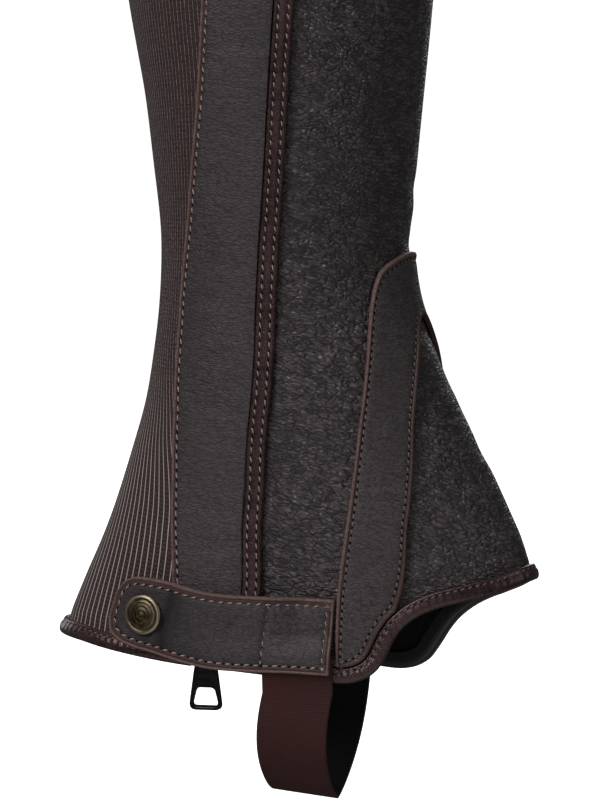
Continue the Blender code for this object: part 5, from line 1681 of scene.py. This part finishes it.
def line_tree(name, shape):
    """Geometry Nodes that set a shape at even steps along lines, each lying along its line
    and facing out of the leather; also the names by which their inputs are set."""
    tree = bpy.data.node_groups.new(name, "GeometryNodeTree")
    numbers = ("Pitch", "Start", "Length", "Width", "Height", "Slant", "Unevenness")
    inputs = {"Lines": "Geometry", **dict.fromkeys(numbers, "Float"), "Seed": "Int",
              "Finish": "Material"}
    sockets = {}
    for label, kind in inputs.items():
        socket = tree.interface.new_socket(label, in_out="INPUT", socket_type="NodeSocket" + kind)
        sockets[label] = socket.identifier
    tree.interface.new_socket("Shapes", in_out="OUTPUT", socket_type="NodeSocketGeometry")

    def add(kind, settings=None, values=None, output=0):
        return new_node(tree, kind, settings, values).outputs[output]

    given = tree.nodes.new("NodeGroupInput").outputs
    curve = add("GeometryNodeMeshToCurve", {}, {"Mesh": given["Lines"]})
    trimmed = add("GeometryNodeTrimCurve", {"mode": "LENGTH"},
                  {"Curve": curve, 4: given["Start"], 5: 1000.0})
    evenly = add("GeometryNodeResampleCurve", {"mode": "LENGTH"},
                 {"Curve": trimmed, "Length": given["Pitch"]})
    along = add("GeometryNodeInputTangent")
    out = add("GeometryNodeInputNamedAttribute", {"data_type": "FLOAT_VECTOR"}, {"Name": "out"})
    facing = add("FunctionNodeAxesToRotation", {"primary_axis": "Z", "secondary_axis": "X"},
                 {0: out, 1: along})
    jitter = add("FunctionNodeRandomValue", {"data_type": "FLOAT"},
                 {"Min": -1.0, "Max": 1.0, "Seed": given["Seed"]}, output=1)
    wobble = add("ShaderNodeMath", {"operation": "MULTIPLY_ADD"},
                 {0: jitter, 1: given["Unevenness"], 2: given["Slant"]})
    turn = add("ShaderNodeCombineXYZ", {}, {"Z": wobble})
    slanted = add("FunctionNodeEulerToRotation", {}, {0: turn})
    facing = add("FunctionNodeRotateRotation", {"rotation_space": "LOCAL"},
                 {0: facing, 1: slanted})
    if shape == "round":
        solid = add("GeometryNodeMeshUVSphere", {}, {"Segments": 8, "Rings": 6, "Radius": 0.5})
    else:
        solid = add("GeometryNodeMeshCube", {}, {"Size": (1.0, 1.0, 1.0)})
    size = add("ShaderNodeCombineXYZ", {}, {
        "X": given["Length"], "Y": given["Width"], "Z": given["Height"]})
    growth = add("FunctionNodeRandomValue", {"data_type": "FLOAT"},
                 {"Min": -0.35, "Max": 0.35, "Seed": 77}, output=1)
    grown = add("ShaderNodeMath", {"operation": "MULTIPLY_ADD"},
                {0: growth, 1: given["Unevenness"], 2: 1.0})
    size = add("ShaderNodeVectorMath", {"operation": "SCALE"}, {0: size, "Scale": grown})
    placed = add("GeometryNodeInstanceOnPoints", {}, {
        "Points": evenly, "Instance": solid, "Rotation": facing, "Scale": size})
    real = add("GeometryNodeRealizeInstances", {}, {0: placed})
    smooth = add("GeometryNodeSetShadeSmooth", {}, {0: real, 2: shape == "round"})
    dressed = add("GeometryNodeSetMaterial", {}, {0: smooth, 2: given["Finish"]})
    new_node(tree, "NodeGroupOutput", {}, {0: dressed})
    return tree, sockets


def along_lines(name, lines, tree, sockets, slot, **values):
    """The tree's shapes along a set of lines, as a plain mesh."""
    points = np.concatenate([line.points for line in lines])
    outs = np.concatenate([line.outs for line in lines])
    edges = []
    start = 0
    for line in lines:
        edges += [(start + i, start + i + 1) for i in range(len(line.points) - 1)]
        start += len(line.points)
    mesh = bpy.data.meshes.new(name + "_lines")
    mesh.from_pydata(metres(points), edges, [])
    layer = mesh.attributes.new("out", "FLOAT_VECTOR", "POINT")
    layer.data.foreach_set("vector", outs.astype(np.float32).ravel())
    carrier = link(name + "_lines", mesh)
    modifier = carrier.modifiers.new("Repeat", "NODES")
    modifier.node_group = tree
    for label, value in values.items():
        modifier[sockets[label]] = value
    bpy.context.view_layer.update()
    evaluated = carrier.evaluated_get(bpy.context.evaluated_depsgraph_get())
    baked = bpy.data.meshes.new_from_object(evaluated)
    bpy.data.objects.remove(carrier)
    made = link(name, baked)
    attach(made, "chap")
    return made


# Where the first stitch starts, and how much of its step a stitch and its hole take
FIRST_STITCH = 0.8
STITCH_SHARE = 0.67
HOLE_SHARE = 0.41

stitch_tree, stitch_inputs = line_tree("stitches", "round")
for tone, pitch in (("light", STITCH_PITCH), ("dark", FINE_PITCH)):
    toned = [line for line in seam_lines if line.tone == tone]
    along_lines("sewing_" + tone, toned, stitch_tree, stitch_inputs, "webbing",
                Pitch=pitch * MM, Start=FIRST_STITCH * MM, Length=pitch * STITCH_SHARE * MM,
                Width=0.6 * MM, Height=0.6 * MM, Slant=0.26, Unevenness=0.12, Seed=5,
                Finish=LOOKS[tone + " thread"])
    # Needle holes: near-black shapes that paint the shade in each hole
    along_lines("needle_holes_" + tone, toned, stitch_tree, stitch_inputs, "bound_leather",
                Pitch=pitch * MM, Start=(FIRST_STITCH + pitch / 2) * MM,
                Length=pitch * HOLE_SHARE * MM, Width=1.15 * MM, Height=0.36 * MM, Slant=0.3,
                Unevenness=0.15, Seed=9, Finish=LOOKS["hole"])


def tooth_lines(side):
    heights = np.arange(SLIDER_HIGH + 1.0, float(top_height(TAPE_TOP_ANGLE)) - BINDING_WIDTH - 2, 2.0)
    angles = zip_edge(side, 1.0, heights)
    points = skin(angles, heights, UNDER_SKIN - TAPE_THICK / 2)
    return SeamLine(points, leg_normal(angles, heights), "teeth")


tooth_tree, tooth_inputs = line_tree("zip_teeth", "block")
for label, side, start in (("front", -1, 0.3), ("back", 1, 1.2)):
    along_lines("zip_teeth_" + label, [tooth_lines(side)], tooth_tree, tooth_inputs, "gloss_black",
                Pitch=1.8 * MM, Start=start * MM, Length=0.95 * MM, Width=2.5 * MM,
                Height=1.9 * MM, Slant=0.0, Unevenness=0.0, Seed=2, Finish=LOOKS["gloss"])


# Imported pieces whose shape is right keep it, with a finish of their own
for node, look in (("zip_slider", "gloss"), ("snap_stud", "steel"), ("snap_rivet", "steel")):
    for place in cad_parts[node].material_slots:
        place.material = LOOKS[look]


# How each cloth piece was cut: its width and length in millimetres
CUTS = rows_of(
    "piece width length held",
    (calf, 330, 425, "folded"), (instep, 190, 110, "folded"), (band, 60, 370, "folded"),
    (elastic, 130, 420, "stretched"), (flap, 52, 410, "laid"), (tab, 100, 34, "laid"),
    (strap, 28, 230, "hung"), (tape_front, 16, 410, "laid"), (tape_back, 16, 410, "laid"),
)


def shell_area(made):
    """Half the surface of a thin shell, in square metres."""
    return sum(face.area for face in made.data.polygons) / 2


for cut in CUTS:
    area = shell_area(cut.piece)
    cut.width * MM


# Camera, light and floor

CAMERA_AZIMUTH = 15.0
CAMERA_ELEVATION = 3.8
CAMERA_DISTANCE = 2600.0
CAMERA_LENS = 316.2
TARGET_RIGHT = 6.66
TARGET_UP = 101.2


def camera():
    azimuth = math.radians(CAMERA_AZIMUTH)
    elevation = math.radians(CAMERA_ELEVATION)
    right = Vector((math.cos(azimuth), math.sin(azimuth), 0))
    back = Vector((math.sin(azimuth) * math.cos(elevation),
                   -math.cos(azimuth) * math.cos(elevation), math.sin(elevation)))
    up = back.cross(right)
    target = right * TARGET_RIGHT + up * TARGET_UP - Vector((0, 0, HOLD_HEIGHT))
    data = bpy.data.cameras.new("camera")
    data.lens = CAMERA_LENS
    data.sensor_width = 36.0
    data.clip_start = 0.1
    data.clip_end = 100.0
    made = link("camera", data)
    turn = Matrix((right, up, back)).transposed().to_4x4()
    made.matrix_world = Matrix.Translation((target + back * CAMERA_DISTANCE) * MM) @ turn
    bpy.context.scene.camera = made


# Soft lights: degrees round from the piece's outer side and up, metres from the place that each
# faces, its size in metres and its power in watts. The table's light comes from under the floor,
# which lets bounced light through
CALF = (0, 0, -0.28)
FOOT = (0, 0, -0.41)
TABLE = (0.05, -0.3, -0.495)
LIGHTS = rows_of(
    "name azimuth elevation distance width height power aim",
    ("left_light", -28, 28, 1.6, 0.6, 0.9, 15.5, CALF),
    ("right_light", 80, 15, 1.7, 0.5, 1.2, 3, CALF),
    ("top_light", -22, 62, 1.5, 1.0, 0.8, 9, CALF),
    ("low_light", 5, 4, 1.8, 1.0, 0.3, 1.6, FOOT),
    ("table_bounce", 10, -88, 0.05, 0.5, 0.5, 0.5, TABLE),
    ("back_light", 182, 25, 1.6, 0.5, 1.2, 4.5, CALF),
    ("rear_light", -125, 20, 1.7, 0.5, 1.2, 4, CALF),
)


def soft_box(light):
    a = math.radians(light.azimuth)
    e = math.radians(light.elevation)
    away = Vector((math.sin(a) * math.cos(e), -math.cos(a) * math.cos(e), math.sin(e)))
    data = bpy.data.lights.new(light.name, "AREA")
    data.shape = "RECTANGLE"
    data.size = light.width
    data.size_y = light.height
    data.energy = light.power
    made = link(light.name, data)
    made.location = Vector(light.aim) + away * light.distance
    made.rotation_euler = away.to_track_quat("Z", "Y").to_euler()
    made.visible_camera = False


# The white world, as it lights the piece and as the camera sees it
LIT_STRENGTH = 0.1
SEEN_STRENGTH = 1.0


def studio():
    world = bpy.data.worlds.new("white_studio")
    bpy.context.scene.world = world
    world.use_nodes = True
    tree = world.node_tree
    tree.nodes.clear()
    white = [new_node(tree, "ShaderNodeBackground", {}, {
        "Color": (1, 1, 1, 1), "Strength": strength}).outputs[0]
        for strength in (LIT_STRENGTH, SEEN_STRENGTH)]
    camera_ray = new_node(tree, "ShaderNodeLightPath").outputs["Is Camera Ray"]
    either = new_node(tree, "ShaderNodeMixShader", {}, {
        0: camera_ray, 1: white[0], 2: white[1]}).outputs[0]
    new_node(tree, "ShaderNodeOutputWorld", {}, {0: either})
    for light in LIGHTS:
        soft_box(light)


# Half the floor's side in metres, and how far it lies under the strap in millimetres
FLOOR_HALF = 40.0
FLOOR_BELOW = 4.0


def floor():
    mesh = bpy.data.meshes.new("studio_floor")
    half = FLOOR_HALF
    level = (STRAP_LOWEST - FLOOR_BELOW - HOLD_HEIGHT) * MM
    mesh.from_pydata([(-half, -half, level), (half, -half, level), (half, half, level),
                      (-half, half, level)], [], [(0, 1, 2, 3)])
    made = link("studio_floor", mesh)
    finish = Finish("studio_white", roughness=0.9, Specular_IOR_Level=0.1)
    cloud = finish.noise(900.0, 1)
    finish.shader.inputs["Emission Color"].default_value = (1, 1, 1, 1)
    finish.shader.inputs["Emission Strength"].default_value = 1.0
    white = finish.done(finish.mixed(cloud, (0.93, 0.93, 0.93), (0.95, 0.95, 0.95)))
    mesh.materials.append(white)
    made.visible_diffuse = False
    made.visible_glossy = False


camera()
studio()
floor()
bpy.context.scene.view_settings.view_transform = "Standard"
